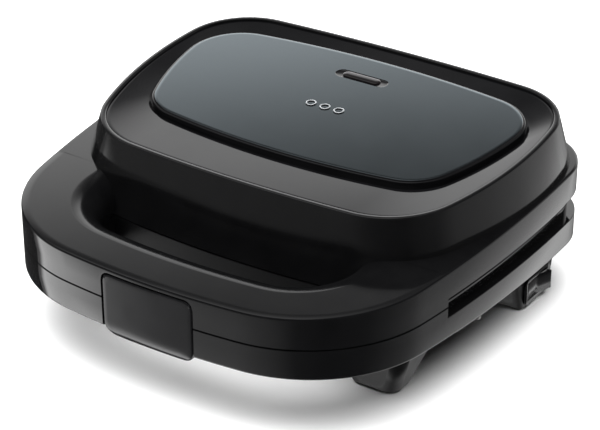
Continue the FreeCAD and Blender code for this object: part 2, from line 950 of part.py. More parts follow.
def bottom_cover():
    """The belly pan with its four legs, the vents and the pocket for the switch."""
    outer = oval_loft(
        "cover_outer",
        [
            ("belly_bottom", "Sizes.belly_level", None, ()),
            ("belly_top", "Sizes.band_bottom_level - 0.2", "band_bottom_slope", ()),
        ],
    )
    inner = oval_loft(
        "cover_inner",
        [
            ("belly_bottom", "Sizes.belly_level + Sizes.thin_wall", None, ("thin_wall",)),
            ("belly_top", "Sizes.band_bottom_level + 3", "band_bottom_slope", ("thin_wall",)),
        ],
    )
    top = "Sizes.boss_low - Sizes.boss_gap"
    posts = [
        rod(
            "cover_post_%d" % index, "Sizes.boss_radius", top + " - Sizes.belly_level",
            boss_at(*place) + ("Sizes.belly_level",),
        )
        for index, place in enumerate(boss_places())
    ]
    pan = cut("cover_pan", fuse("cover_whole", outer, *legs()), inner)
    shelf = block(
        "cover_terminal_shelf",
        (
            "Sizes.terminal_x - Sizes.shelf_half_length",
            "Sizes.terminal_x + Sizes.shelf_half_length",
        ),
        ("Sizes.terminal_y - Sizes.shelf_front", "Sizes.terminal_y + Sizes.shelf_rear"),
        ("Sizes.belly_level + Sizes.overlap", "Sizes.terminal_low"),
    )
    body = cut("cover_open", fuse("cover_posts", pan, shelf, *posts), *cover_cuts())
    holes = screw_holes(
        "cover_hole", FAR_BELOW, "Sizes.boss_low", "Sizes.screw_radius + Sizes.screw_clearance"
    )
    part(cut("bottom_cover", body, *holes), "bottom_cover")


def rubber_feet():
    pads = []
    for side, sign in SIDES.items():
        for end in LEG_PLANS:
            pads.append(
                rod(
                    "foot_%s_%s" % (end, side), "Sizes.foot_pad_radius", "Sizes.foot_height",
                    ("%d * Sizes.%s_foot_x" % (sign, end), "Sizes.%s_foot_y" % end, "0"),
                )
            )
    part(group("rubber_feet", *pads), "rubber_feet")


def plate_frame(name, low, window_low, window_high, ledge_low, ledge_high):
    """The moulded ring between a shell and its donut plate, with a ledge for the plate."""
    outer = oval_prism(name + "_outer", "cavity", low, low + " + Sizes.frame_depth", ("frame_gap",))
    window = plate_block(name + "_window", window_low, window_high, "-Sizes.frame_gap")
    ledge = plate_block(name + "_ledge", ledge_low, ledge_high, "Sizes.frame_ledge")
    notches = hinge_notches(name + "_notch", FAR_BELOW, FAR_ABOVE)
    return cut(name + "_ring", outer, window, ledge, *notches)


def frame_screw_room(name, head_low, shank_low, shank_high):
    """Countersunk room for the six frame screws."""
    heads = [
        rod(
            "%s_head_%d" % (name, index), "Sizes.frame_head_radius + Sizes.screw_clearance",
            "Sizes.frame_head_height + Sizes.overlap", boss_at(*place) + (head_low,),
        )
        for index, place in enumerate(boss_places())
    ]
    shanks = screw_holes(
        name + "_shank", shank_low, shank_high, "Sizes.screw_radius + Sizes.screw_clearance"
    )
    return heads + shanks


def base_frame():
    low = "Sizes.lower_plate_top - Sizes.frame_depth"
    top = "Sizes.lower_plate_top"
    ring_body = plate_frame(
        "base_frame", low, top + " - Sizes.plate_thickness", top + " + 1", FAR_BELOW, top + " + 1"
    )
    room = frame_screw_room(
        "base_frame_room", top + " - Sizes.frame_head_height", FAR_BELOW, FAR_ABOVE
    )
    part(cut("lower_plate_frame", ring_body, *room), "lower_plate_frame")


def lid_frame():
    low = "Sizes.upper_plate_bottom"
    ring_body = plate_frame(
        "lid_frame", low, low + " - 1", low + " + Sizes.plate_thickness", low + " - 1", FAR_ABOVE
    )
    room = frame_screw_room("lid_frame_room", low + " - Sizes.overlap", FAR_BELOW, FAR_ABOVE)
    part(cut("upper_plate_frame", ring_body, *room), "upper_plate_frame")


def donut_plate(name, face, sign):
    """A cast plate with ring moulds. sign is -1 where the moulds hang down, 1 where they rise."""
    thick = "Sizes.plate_thickness"
    low, high = (face + " - " + thick, face) if sign < 0 else (face, face + " + " + thick)
    slab = plate_block(name + "_slab", low, high)
    shells = []
    hollows = []
    for index, (x, y) in enumerate(mould_places()):
        centre = (x, y, face)
        shells.append(
            ring(
                "%s_shell_%d" % (name, index), "Sizes.mould_ring_radius",
                "Sizes.mould_shell_radius", centre,
            )
        )
        hollows.append(
            ring(
                "%s_hollow_%d" % (name, index), "Sizes.mould_ring_radius",
                "Sizes.mould_section_radius", centre,
            )
        )
    reach = "Sizes.mould_shell_radius + Sizes.plate_boss_extra"
    boss = rod(
        name + "_boss", "Sizes.boss_radius", reach,
        (
            "-Sizes.mould_pitch_x / 2",
            "Sizes.plate_middle",
            face + " - (%s)" % reach if sign < 0 else face,
        ),
    )
    span = ("-Sizes.big / 2", "Sizes.big / 2")
    through = "Sizes.through"
    far_side = (face, face + " + " + through) if sign < 0 else (face + " - " + through, face)
    beyond = block(name + "_beyond", span, span, far_side)
    half = cut(name + "_half", fuse(name + "_whole", slab, boss, *shells), beyond)
    depth = reach + " + Sizes.overlap"
    hole = rod(
        name + "_boss_hole", "Sizes.screw_radius", depth + " - Sizes.plate_boss_floor",
        (
            "-Sizes.mould_pitch_x / 2",
            "Sizes.plate_middle",
            face + (" - (%s)" % depth if sign < 0 else " + Sizes.plate_boss_floor"),
        ),
    )
    label = "lower_donut_plate" if sign < 0 else "upper_donut_plate"
    part(cut(label, half, hole, *hollows), label)


def element(name, level):
    """A tubular heating element: two long runs joined by a half-round bend, with cold pins."""
    length = "Sizes.element_bend_at - Sizes.element_start"
    pieces = []
    for index, row in enumerate((-1, 1)):
        y = "Sizes.plate_middle + %d * Sizes.mould_pitch_y / 2" % row
        pieces.append(
            rod(
                "%s_run_%d" % (name, index), "Sizes.element_radius", length,
                ("Sizes.element_start", y, level), "x",
            )
        )
        pieces.append(
            rod(
                "%s_pin_%d" % (name, index), "Sizes.element_pin_radius",
                "Sizes.element_pin_length + Sizes.overlap",
                ("Sizes.element_start - Sizes.element_pin_length", y, level), "x",
            )
        )
    bend = ring(
        name + "_bend", "Sizes.mould_pitch_y / 2", "Sizes.element_radius",
        ("Sizes.element_bend_at", "Sizes.plate_middle", level),
    )
    bend.Angle3 = 180
    bend.Placement = Placement(bend.Placement.Base, Rotation(Vector(0, 0, 1), -90))
    pieces.append(bend)
    part(fuse(name, *pieces), name)


def reflector(name, low, high, open_up):
    """A pressed tray that turns the heat back towards the plate."""
    def tray(suffix, bottom, top, shrink, corner):
        return rounded_block(
            name + suffix,
            ("-Sizes.reflector_half_width" + shrink, "Sizes.reflector_half_width" + minus(shrink)),
            (
                "Sizes.plate_middle - Sizes.reflector_half_depth" + shrink,
                "Sizes.plate_middle + Sizes.reflector_half_depth" + minus(shrink),
            ),
            (bottom, top),
            corner,
        )

    wall = "Sizes.reflector_wall"
    outer = tray("_outer", low, high, "", "reflector_corner")
    if open_up:
        bottom, top = low + " + " + wall, high + " + 1"
    else:
        bottom, top = low + " - 1", high + " - " + wall
    inner = tray("_inner", bottom, top, " + " + wall, "reflector_corner")
    hole = rod(
        name + "_hole", "Sizes.screw_radius + Sizes.screw_clearance", FAR_ABOVE,
        ("-Sizes.mould_pitch_x / 2", "Sizes.plate_middle", FAR_BELOW),
    )
    part(cut(name, outer, inner, hole), name)


def minus(text):
    return text.replace("+", "-")


def clamp(name, level):
    """The strap that holds an element against the moulds."""
    strap = block(
        name + "_strap",
        (
            "-Sizes.mould_pitch_x / 2 - Sizes.clamp_width / 2",
            "-Sizes.mould_pitch_x / 2 + Sizes.clamp_width / 2",
        ),
        (
            "Sizes.plate_middle - Sizes.mould_pitch_y / 2 - Sizes.clamp_overhang",
            "Sizes.plate_middle + Sizes.mould_pitch_y / 2 + Sizes.clamp_overhang",
        ),
        (level, level + " + Sizes.clamp_thickness"),
    )
    hole = rod(
        name + "_hole", "Sizes.screw_radius + Sizes.screw_clearance",
        "Sizes.clamp_thickness + 2 * Sizes.overlap",
        ("-Sizes.mould_pitch_x / 2", "Sizes.plate_middle", level + " - Sizes.overlap"),
    )
    part(cut(name, strap, hole), name)


def thermostat(name, low, blades_low):
    """A snap-disc thermostat against the plate, with two blades for its leads."""
    x = "Sizes.mould_pitch_x / 2"
    can = rod(
        name + "_can", "Sizes.thermostat_radius", "Sizes.thermostat_height",
        (x, "Sizes.plate_middle", low),
    )
    blades = [
        block(
            "%s_blade_%d" % (name, index),
            (
                "%s + %d * Sizes.blade_offset - Sizes.blade_thickness / 2" % (x, way),
                "%s + %d * Sizes.blade_offset + Sizes.blade_thickness / 2" % (x, way),
            ),
            (
                "Sizes.plate_middle - Sizes.blade_width / 2",
                "Sizes.plate_middle + Sizes.blade_width / 2",
            ),
            (blades_low, blades_low + " + Sizes.blade_length + Sizes.overlap"),
        )
        for index, way in enumerate((-1, 1))
    ]
    part(fuse(name, can, *blades), name)


def heating_parts():
    """Both sets of element, reflector, clamp and thermostat, and the fuse."""
    stack = "Sizes.mould_shell_radius + Sizes.element_gap"
    lower = "Sizes.lower_plate_top - " + minus(stack)
    upper = "Sizes.upper_plate_bottom + %s" % stack
    element("lower_heating_element", lower + " - Sizes.element_radius")
    element("upper_heating_element", upper + " + Sizes.element_radius")
    reflector(
        "lower_reflector", "Sizes.lower_reflector_floor", "Sizes.lower_reflector_top", True
    )
    reflector(
        "upper_reflector", "Sizes.upper_reflector_bottom", "Sizes.upper_reflector_roof", False
    )
    reach = "2 * Sizes.element_radius + Sizes.clamp_gap"
    clamp("lower_element_clamp", lower + " - (%s) - Sizes.clamp_thickness" % reach)
    clamp("upper_element_clamp", upper + " + " + reach)
    under = "Sizes.lower_plate_top - Sizes.plate_thickness - Sizes.thermostat_gap"
    under = under + " - Sizes.thermostat_height"
    over = "Sizes.upper_plate_bottom + Sizes.plate_thickness + Sizes.thermostat_gap"
    thermostat("lower_thermostat", under, under + " - Sizes.blade_length")
    thermostat("upper_thermostat", over, over + " + Sizes.thermostat_height - Sizes.overlap")
    fuse_body = rod(
        "thermal_fuse", "Sizes.fuse_radius", "Sizes.fuse_length",
        (
            "Sizes.mould_pitch_x / 2 + Sizes.fuse_offset",
            "Sizes.plate_middle",
            under + " + Sizes.overlap",
        ),
    )
    part(fuse_body, "thermal_fuse")


def screw(name, x, y, head_low, head_high, shank_low, shank_high, head_radius):
    """A pan-head screw that stands upright."""
    head = rod(name + "_head", head_radius, "(%s) - (%s)" % (head_high, head_low), (x, y, head_low))
    shank = rod(
        name + "_shank", "Sizes.screw_radius - Sizes.running_clearance",
        "(%s) - (%s)" % (shank_high, shank_low), (x, y, shank_low),
    )
    return fuse(name, head, shank)


def screws():
    """All the screws, in one group for each job."""
    top = "Sizes.lower_plate_top"
    low = "Sizes.upper_plate_bottom"
    small = "Sizes.frame_head_radius"
    cover = []
    base = []
    lid = []
    for index, place in enumerate(boss_places()):
        at = boss_at(*place)
        cover.append(
            screw(
                "cover_screw_%d" % index, *at, "Sizes.belly_level - Sizes.screw_head_height",
                "Sizes.belly_level", "Sizes.belly_level - Sizes.screw_root",
                "Sizes.belly_level + Sizes.cover_screw_length", "Sizes.screw_head_radius",
            )
        )
        base.append(
            screw(
                "base_frame_screw_%d" % index, *at, top + " - Sizes.frame_head_height", top,
                top + " - Sizes.screw_length", top + " - Sizes.screw_root", small,
            )
        )
        lid.append(
            screw(
                "lid_frame_screw_%d" % index, *at, low, low + " + Sizes.frame_head_height",
                low + " + Sizes.screw_root", low + " + Sizes.screw_length", small,
            )
        )
    part(group("cover_screws", *cover), "cover_screws")
    part(group("base_frame_screws", *base), "base_frame_screws")
    part(group("lid_frame_screws", *lid), "lid_frame_screws")
    at = ("-Sizes.mould_pitch_x / 2", "Sizes.plate_middle")
    floor = "Sizes.lower_reflector_floor"
    roof = "Sizes.upper_reflector_roof"
    lower = screw(
        "lower_clamp_screw", *at, floor + " - Sizes.screw_head_height", floor,
        floor + " - Sizes.screw_root", floor + " + Sizes.screw_length", "Sizes.screw_head_radius",
    )
    upper = screw(
        "upper_clamp_screw", *at, roof, roof + " + Sizes.screw_head_height",
        roof + " - Sizes.screw_length", roof + " + Sizes.screw_root", "Sizes.screw_head_radius",
    )
    part(lower, "lower_clamp_screw")
    part(upper, "upper_clamp_screw")


# ---------------------------------------------------------------- lid


def lid_shell():
    """The upper band with its half of the handle loop, and the drafted dome above it."""
    outer = oval_prism("lid_band", "band", LID_LOW, "Sizes.rim_level")
    loop = oval_prism("lid_loop", "opening", FAR_BELOW, FAR_ABOVE)
    above = sloped_slab("lid_above", "band_top_level", "band_top_slope", size("through"))
    band = cut("lid_band_cut", outer, loop, above)
    rolled = fillet_where(
        "lid_band_rolled",
        band,
        size("handle_roll"),
        lambda edge: loop_edge(edge, "band_top_level", "band_top_slope"),
    )
    dome = oval_loft(
        "lid_dome",
        [
            ("waist", LID_LOW, None, ()),
            ("shoulder", "Sizes.band_top_level", "band_top_slope", ()),
            ("rim", "Sizes.rim_level - Sizes.rim_chamfer", "rim_slope", ()),
            ("rim", "Sizes.rim_level", "rim_slope", ("rim_chamfer",)),
        ],
    )
    inside = oval_loft(
        "lid_cavity",
        [
            ("cavity", LID_LOW + " - 2", None, ()),
            ("cavity", "Sizes.recess_high + 2", None, ()),
            ("rim", "Sizes.rim_level + 0.5", "rim_slope", ("rim_width",)),
        ],
    )
    pocket = handle_channel("lid_pocket", LID_LOW + " - 2", "Sizes.handle_pocket_top")
    recess = recess_ring("lid_recess", LID_LOW + " - 2", "Sizes.recess_high")
    gap = size("latch_gap")
    half = size("latch_half_width") + gap
    seat = outline_prism(
        "lid_latch_seat", "XZ_Plane",
        box_corners(
            (-half, half), (0, size("latch_top") + size("latch_top_gap")),
            size("latch_top_corner") + gap,
        ),
        "-Sizes.latch_recess_rear", "Sizes.through",
    )
    pin = rod(
        "lid_pin_hole", "Sizes.latch_pin_radius + Sizes.running_clearance / 2",
        "2 * Sizes.latch_pin_half_length + 2 * Sizes.boss_gap",
        (
            "-Sizes.latch_pin_half_length - Sizes.boss_gap",
            "Sizes.latch_pivot_y",
            "Sizes.latch_pivot_z",
        ),
        "x",
    )
    notches = hinge_notches("lid_notch", LID_LOW + " - 2", "Sizes.recess_high")
    whole = fuse("lid_whole", rolled, dome)
    hollow = cut("lid_hollow", whole, inside, pocket, recess, seat, pin, *notches)
    low = "Sizes.upper_plate_bottom + Sizes.frame_depth + Sizes.boss_gap"
    posts = fuse("lid_posts", *bosses("lid", low, "Sizes.lid_boss_top", low))
    posts_in = common("lid_posts_in", posts, inside)
    holes = screw_holes("lid_hole", LID_LOW, "Sizes.lid_screw_hole_top", "Sizes.screw_radius")
    part(cut("lid_shell", fuse("lid_joined", hollow, posts_in), *holes), "lid_shell")


LENS_TOP = (
    "Sizes.rim_level + tan(Sizes.rim_slope * 1 deg) * Sizes.lens_y"
    " + Sizes.inlay_height + Sizes.lens_proud"
)


def pill(name, low, high, grow="0"):
    """A bar with round ends, for the lens and its hole."""
    radius = "Sizes.lens_radius + " + grow
    height = "(%s) - (%s)" % (high, low)
    ends = [
        rod(
            "%s_end_%d" % (name, index), radius, height,
            ("%d * Sizes.lens_half_length" % way, "Sizes.lens_y", low),
        )
        for index, way in enumerate((-1, 1))
    ]
    middle = block(
        name + "_middle",
        ("-Sizes.lens_half_length", "Sizes.lens_half_length"),
        ("Sizes.lens_y - (%s)" % radius, "Sizes.lens_y + " + radius),
        (low, high),
    )
    return fuse(name, middle, *ends)


def top_dish():
    """The shallow basin inside the rim, with the raised island that carries the inlay."""
    level = "Sizes.rim_level"
    tray = sloped_prism(
        "dish_tray", "rim", level, "rim_slope", "-Sizes.dish_depth", "-Sizes.dish_edge_drop",
        ("rim_width", "dish_gap"),
    )
    basin = oval_loft(
        "dish_basin",
        [
            ("island", level + " - Sizes.dish_foot_drop", "rim_slope", ()),
            (
                "rim", level + " - Sizes.dish_edge_drop + Sizes.dish_edge_overlap", "rim_slope",
                ("rim_width", "dish_lip"),
            ),
        ],
    )
    island = sloped_prism(
        "dish_island", "island", level, "rim_slope", "-Sizes.dish_foot_drop - Sizes.overlap / 2",
        "Sizes.island_height",
    )
    seat = sloped_prism(
        "dish_seat", "island", level, "rim_slope", "Sizes.inlay_height - Sizes.inlay_thickness",
        "Sizes.inlay_height + Sizes.overlap", ("inlay_border",),
    )
    under = sloped_prism(
        "dish_under", "island", level, "rim_slope", "-Sizes.dish_depth - Sizes.overlap",
        "-Sizes.dish_floor_drop", ("wall",),
    )
    hole = pill("dish_hole", FAR_BELOW, FAR_ABOVE, "Sizes.dish_gap")
    body = cut("dish_basin_cut", tray, basin)
    part(
        cut("top_dish", fuse("dish_whole", body, island), seat, under, hole), "top_dish"
    )


def inlay_and_lens():
    plate = sloped_prism(
        "inlay", "island", "Sizes.rim_level", "rim_slope",
        "Sizes.inlay_height - Sizes.inlay_thickness", "Sizes.inlay_height",
        ("inlay_border", "dish_gap"),
    )
    hole = pill("inlay_hole", FAR_BELOW, FAR_ABOVE, "Sizes.dish_gap")
    part(cut("inlay_plate", plate, hole), "inlay_plate")
    part(pill("indicator_lens", LENS_TOP + " - Sizes.lens_depth", LENS_TOP), "indicator_lens")


def badge():
    """Three plain raised rings, as generic decoration on the inlay."""
    slope = Rotation(Vector(1, 0, 0), size("rim_slope"))
    level = (
        "Sizes.rim_level + tan(Sizes.rim_slope * 1 deg) * Sizes.badge_y"
        " + Sizes.inlay_height + Sizes.badge_gap"
    )
    rings = []
    for index, column in enumerate((-1, 0, 1)):
        at = ("%d * Sizes.badge_pitch" % column, "Sizes.badge_y", level)
        outer = rod(
            "badge_outer_%d" % index, "Sizes.badge_ring_radius + Sizes.badge_section_radius",
            "Sizes.badge_height", at, slope,
        )
        inner = rod(
            "badge_inner_%d" % index, "Sizes.badge_ring_radius - Sizes.badge_section_radius",
            "2 * Sizes.overlap", at[:2] + (level + " - Sizes.overlap / 2",), slope,
        )
        rings.append(cut("badge_ring_%d" % index, outer, inner))
    part(group("badge_rings", *rings), "badge_rings")


def lamp():
    """The pilot lamp on its little board, under the lens."""
    board = block(
        "lamp_board",
        ("-Sizes.board_half_length", "Sizes.board_half_length"),
        ("Sizes.lens_y - Sizes.board_half_width", "Sizes.lens_y + Sizes.board_half_width"),
        ("Sizes.board_level", "Sizes.board_level + Sizes.board_thickness"),
    )
    part(board, "lamp_board")
    bulb = rod(
        "pilot_lamp", "Sizes.lamp_radius", "Sizes.lamp_length",
        (
            "-Sizes.lamp_length / 2",
            "Sizes.lens_y",
            "Sizes.board_level + Sizes.board_thickness + Sizes.lamp_radius + Sizes.overlap",
        ),
        "x",
    )
    part(bulb, "pilot_lamp")


# ---------------------------------------------------------------- hinges


def hinge_half(name, sign, spans, leaf, ear, stem):
    """One bracket: a leaf inside the shell, with ears that carry the knuckles on the axis."""
    middle = "%d * Sizes.hinge_offset" % sign
    pieces = [
        block(
            name + "_leaf",
            (
                middle + " - Sizes.base_knuckle_end",
                middle + " + Sizes.base_knuckle_end",
            ),
            ("Sizes.hinge_leaf_front", "Sizes.hinge_leaf_rear"),
            leaf,
        )
    ]
    for index, (start, end) in enumerate(spans):
        x = (middle + " + " + start, middle + " + " + end)
        pieces.append(
            block(
                "%s_stem_%d" % (name, index), x,
                ("Sizes.hinge_leaf_front", "Sizes.hinge_leaf_rear"), stem,
            )
        )
        pieces.append(
            block("%s_ear_%d" % (name, index), x, ("Sizes.hinge_leaf_front", "Sizes.hinge_y"), ear)
        )
        pieces.append(
            rod(
                "%s_knuckle_%d" % (name, index), "Sizes.knuckle_radius",
                "(%s) - (%s)" % (end, start),
                (x[0], "Sizes.hinge_y", "Sizes.parting_level"), "x",
            )
        )
    bore = rod(
        name + "_bore", "Sizes.hinge_pin_radius + Sizes.running_clearance", "Sizes.through",
        (middle + " - Sizes.through / 2", "Sizes.hinge_y", "Sizes.parting_level"), "x",
    )
    part(cut(name, fuse(name + "_whole", *pieces), bore), name)


def hinges():
    pins = []
    base_low = "Sizes.recess_low - Sizes.hinge_leaf_reach"
    base_ear = (
        "Sizes.recess_low + Sizes.hinge_ear_gap", "Sizes.parting_level - Sizes.hinge_arm_gap"
    )
    lid_high = "Sizes.recess_high + Sizes.hinge_leaf_reach"
    lid_ear = (
        "Sizes.parting_level + Sizes.hinge_arm_gap + Sizes.hinge_ear_gap",
        "Sizes.recess_high - Sizes.lid_ear_drop",
    )
    for side, sign in SIDES.items():
        hinge_half(
            "base_hinge_" + side, sign,
            [
                ("-Sizes.base_knuckle_end", "-Sizes.base_knuckle_start"),
                ("Sizes.base_knuckle_start", "Sizes.base_knuckle_end"),
            ],
            (base_low, "Sizes.recess_low - Sizes.hinge_leaf_gap"), base_ear, (base_low, base_ear[1]),
        )
        hinge_half(
            "lid_hinge_" + side, sign,
            [("-Sizes.lid_knuckle_half", "Sizes.lid_knuckle_half")],
            ("Sizes.recess_high - Sizes.lid_leaf_drop", lid_high), lid_ear, (lid_ear[0], lid_high),
        )
        pins.append(
            rod(
                "hinge_pin_" + side, "Sizes.hinge_pin_radius", "2 * Sizes.base_knuckle_end",
                (
                    "%d * Sizes.hinge_offset - Sizes.base_knuckle_end" % sign,
                    "Sizes.hinge_y",
                    "Sizes.parting_level",
                ),
                "x",
            )
        )
    part(group("hinge_pins", *pins), "hinge_pins")


# ---------------------------------------------------------------- latch


def latch():
    """The front latch: a plate that follows the band, with a boss above and a hook below."""
    front = size("band_front")
    back = front + size("latch_thickness")
    ahead = front - size("latch_ahead")
    low = size("latch_bottom")
    top = size("latch_top")
    hook = size("latch_hook_top")
    tip = size("latch_hook_tip")
    nose = size("latch_hook_nose")
    bend = size("latch_bend_height")
    side = outline_prism(
        "latch_side", "YZ_Plane",
        [
            (front, low, size("latch_hook_bend")),
            (tip - nose, low, nose / 2),
            (tip, low + nose, nose / 3),
            (tip, hook, nose / 5),
            (back, hook, nose / 4),
            (back, top, 0),
            (ahead, top, 0),
            (ahead, low + bend + 1, 0),
            (front, low + bend, 0),
        ],
        "0", "2 * Sizes.latch_half_width", midplane=True,
    )
    boss = rod(
        "latch_boss", "Sizes.latch_boss_radius", "2 * Sizes.latch_half_width",
        ("-Sizes.latch_half_width", "Sizes.latch_pivot_y", "Sizes.latch_pivot_z"), "x",
    )
    half = size("latch_half_width")
    upper = outline_prism(
        "latch_upper", "XZ_Plane",
        box_corners((-half, half), (0, top), size("latch_top_corner")),
        "-Sizes.latch_slot_rear - Sizes.through / 2", "2 * Sizes.through",
    )
    lower = outline_prism(
        "latch_lower", "XZ_Plane",
        box_corners((-half, half), (low, size("far_above")), size("latch_bottom_corner")),
        "-Sizes.latch_slot_rear - Sizes.through / 2", "2 * Sizes.through",
    )
    outer = oval_prism("latch_band", "band", FAR_BELOW, FAR_ABOVE)
    solid = common("latch_shape", fuse("latch_whole", side, boss), upper, lower, outer)
    bore = rod(
        "latch_bore", "Sizes.latch_pin_radius + Sizes.running_clearance", "2 * Sizes.through",
        ("-Sizes.through", "Sizes.latch_pivot_y", "Sizes.latch_pivot_z"), "x",
    )
    notch = rod(
        "latch_notch", "Sizes.spring_notch_radius", "Sizes.spring_length + 2 * Sizes.spring_gap",
        ("Sizes.spring_start - Sizes.spring_gap", "Sizes.latch_pivot_y", "Sizes.latch_pivot_z"), "x",
    )
    notch_rear = block(
        "latch_notch_rear",
        (
            "Sizes.spring_start - Sizes.spring_gap",
            "Sizes.spring_start + Sizes.spring_length + Sizes.spring_gap",
        ),
        ("Sizes.latch_pivot_y", "Sizes.latch_slot_rear"),
        (
            "Sizes.latch_pivot_z - Sizes.spring_notch_half",
            "Sizes.latch_pivot_z + Sizes.spring_notch_half",
        ),
    )
    part(cut("latch", solid, bore, notch, notch_rear), "latch")
    pin = rod(
        "latch_pin", "Sizes.latch_pin_radius", "2 * Sizes.latch_pin_half_length",
        ("-Sizes.latch_pin_half_length", "Sizes.latch_pivot_y", "Sizes.latch_pivot_z"), "x",
    )
    part(pin, "latch_pin")


def latch_spring():
    """A torsion spring round the latch pin, with one leg down the back of the latch."""
    radius = size("spring_radius")
    wire = size("spring_wire")
    helix = Part.makeHelix(size("spring_pitch"), size("spring_length"), radius)
    start = Vector(radius, 0, 0)
    section = Part.Wire(Part.makeCircle(wire, start, Vector(0, 1, 0)))
    coil = Part.Wire(helix.Edges).makePipeShell([section], True, True)
    spring = doc.addObject("Part::Feature", "latch_spring")
    spring.Shape = coil
    turn = Rotation(Vector(0, 1, 0), 90)
    at = Vector(size("spring_start"), size("latch_pivot_y"), size("latch_pivot_z"))
    spring.Placement = Placement(at, turn)
    part(spring, "latch_spring")


def latch_catch():
    """The sprung bar under the lower handle that the hook snaps over."""
    bar = block(
        "catch_bar",
        ("-Sizes.catch_half_width", "Sizes.catch_half_width"),
        ("Sizes.catch_front", "Sizes.latch_slot_rear + Sizes.catch_bite"),
        ("Sizes.catch_low", "Sizes.catch_high"),
    )
    part(bar, "latch_catch")


# ---------------------------------------------------------------- switch and electrics


def switch_bezel():
    """The switch's face and its case, set in the right rear leg."""
    y = size("switch_y")
    z = size("switch_z")
    long_half = size("bezel_half_length")
    tall_half = size("bezel_half_height")
    face = outline_prism(
        "bezel_face", "YZ_Plane",
        box_corners(
            (y - long_half, y + long_half), (z - tall_half, z + tall_half), size("bezel_corner")
        ),
        "Sizes.switch_face", "Sizes.bezel_thickness",
    )
    case = block(
        "bezel_case",
        ("Sizes.switch_face - Sizes.bezel_depth", "Sizes.switch_face + Sizes.bezel_thickness / 2"),
        ("Sizes.switch_y - Sizes.case_half_length", "Sizes.switch_y + Sizes.case_half_length"),
        ("Sizes.switch_z - Sizes.case_half_height", "Sizes.switch_z + Sizes.case_half_height"),
    )
    room = block(
        "bezel_room",
        (
            "Sizes.switch_face - Sizes.bezel_depth + Sizes.case_wall",
            "Sizes.switch_face + Sizes.bezel_thickness + Sizes.overlap",
        ),
        (
            "Sizes.switch_y - Sizes.rocker_half_opening",
            "Sizes.switch_y + Sizes.rocker_half_opening",
        ),
        (
            "Sizes.switch_z - Sizes.rocker_half_height - Sizes.rocker_side_gap",
            "Sizes.switch_z + Sizes.rocker_half_height + Sizes.rocker_side_gap",
        ),
    )
    bores = rod(
        "bezel_bores", "Sizes.rocker_pin_radius + Sizes.running_clearance",
        "2 * Sizes.rocker_pin_half + 2 * Sizes.case_clearance",
        (
            "Sizes.rocker_pivot_x",
            "Sizes.switch_y",
            "Sizes.switch_z - Sizes.rocker_pin_half - Sizes.case_clearance",
        ),
    )
    part(cut("switch_bezel", fuse("bezel_whole", face, case), room, bores), "switch_bezel")


def power_rocker():
    """The rocker: a shallow V that tips about an upright pin."""
    back = -size("rocker_back")
    back_half = size("rocker_back_half")
    shoulder = -size("rocker_shoulder")
    reach = size("rocker_reach")
    end = size("rocker_end")
    tip = math.radians(size("rocker_tip_angle"))
    ends = (reach * math.cos(tip), reach * math.sin(tip))
    rocker_body = outline_prism(
        "rocker_body", "XY_Plane",
        [
            (back, -back_half, 1),
            (shoulder, -end, 1),
            (ends[0], -ends[1], 0.8),
            (size("rocker_valley"), 0, 6),
            (ends[0], ends[1], 0.8),
            (shoulder, end, 1),
            (back, back_half, 1),
        ],
        "Sizes.switch_z - Sizes.rocker_half_height", "2 * Sizes.rocker_half_height",
    )
    rocker_body.Placement = Placement(
        Vector(size("rocker_pivot_x"), size("switch_y"), 0),
        Rotation(Vector(0, 0, 1), size("rocker_rest_angle")),
    )
    pins = rod(
        "rocker_pins", "Sizes.rocker_pin_radius", "2 * Sizes.rocker_pin_half",
        ("Sizes.rocker_pivot_x", "Sizes.switch_y", "Sizes.switch_z - Sizes.rocker_pin_half"),
    )
    part(fuse("power_rocker", rocker_body, pins), "power_rocker")


def electrics():
    """The cord's inlet gland at the rear, and the terminal block behind it."""
    flange = rod(
        "gland_flange", "Sizes.gland_flange_radius", "Sizes.gland_flange_thickness",
        ("Sizes.gland_x", "Sizes.gland_rear - Sizes.gland_flange_thickness", "Sizes.gland_z"), "y",
    )
    tube = rod(
        "gland_tube", "Sizes.gland_radius - Sizes.running_clearance", "Sizes.gland_length",
        ("Sizes.gland_x", "Sizes.gland_rear - Sizes.gland_length", "Sizes.gland_z"), "y",
    )
    bore = rod(
        "gland_bore", "Sizes.gland_bore", "Sizes.through",
        ("Sizes.gland_x", "Sizes.gland_rear - Sizes.through / 2", "Sizes.gland_z"), "y",
    )
    part(cut("cord_gland", fuse("gland_whole", flange, tube), bore), "cord_gland")
    x = "Sizes.terminal_x"
    body = block(
        "terminal_body",
        (x + " - Sizes.terminal_half_length", x + " + Sizes.terminal_half_length"),
        (
            "Sizes.terminal_y - Sizes.terminal_half_width",
            "Sizes.terminal_y + Sizes.terminal_half_width",
        ),
        ("Sizes.terminal_low", "Sizes.terminal_low + Sizes.terminal_height"),
    )
    wells = [
        rod(
            "terminal_well_%d" % index, "Sizes.terminal_well_radius",
            "Sizes.terminal_well_depth + Sizes.overlap",
            (
                x + " + %d * Sizes.terminal_pitch" % way,
                "Sizes.terminal_y",
                "Sizes.terminal_low + Sizes.terminal_height - Sizes.terminal_well_depth",
            ),
        )
        for index, way in enumerate((-1, 0, 1))
    ]
    part(cut("terminal_block", body, *wells), "terminal_block")


# ---------------------------------------------------------------- assembly


def check(thing):
    problems = [word for word in thing.State if word in ("Invalid", "Error", "Touched")]
    if problems:
        raise RuntimeError("%s is %s: %s" % (thing.Label, problems, thing.getStatusString()))


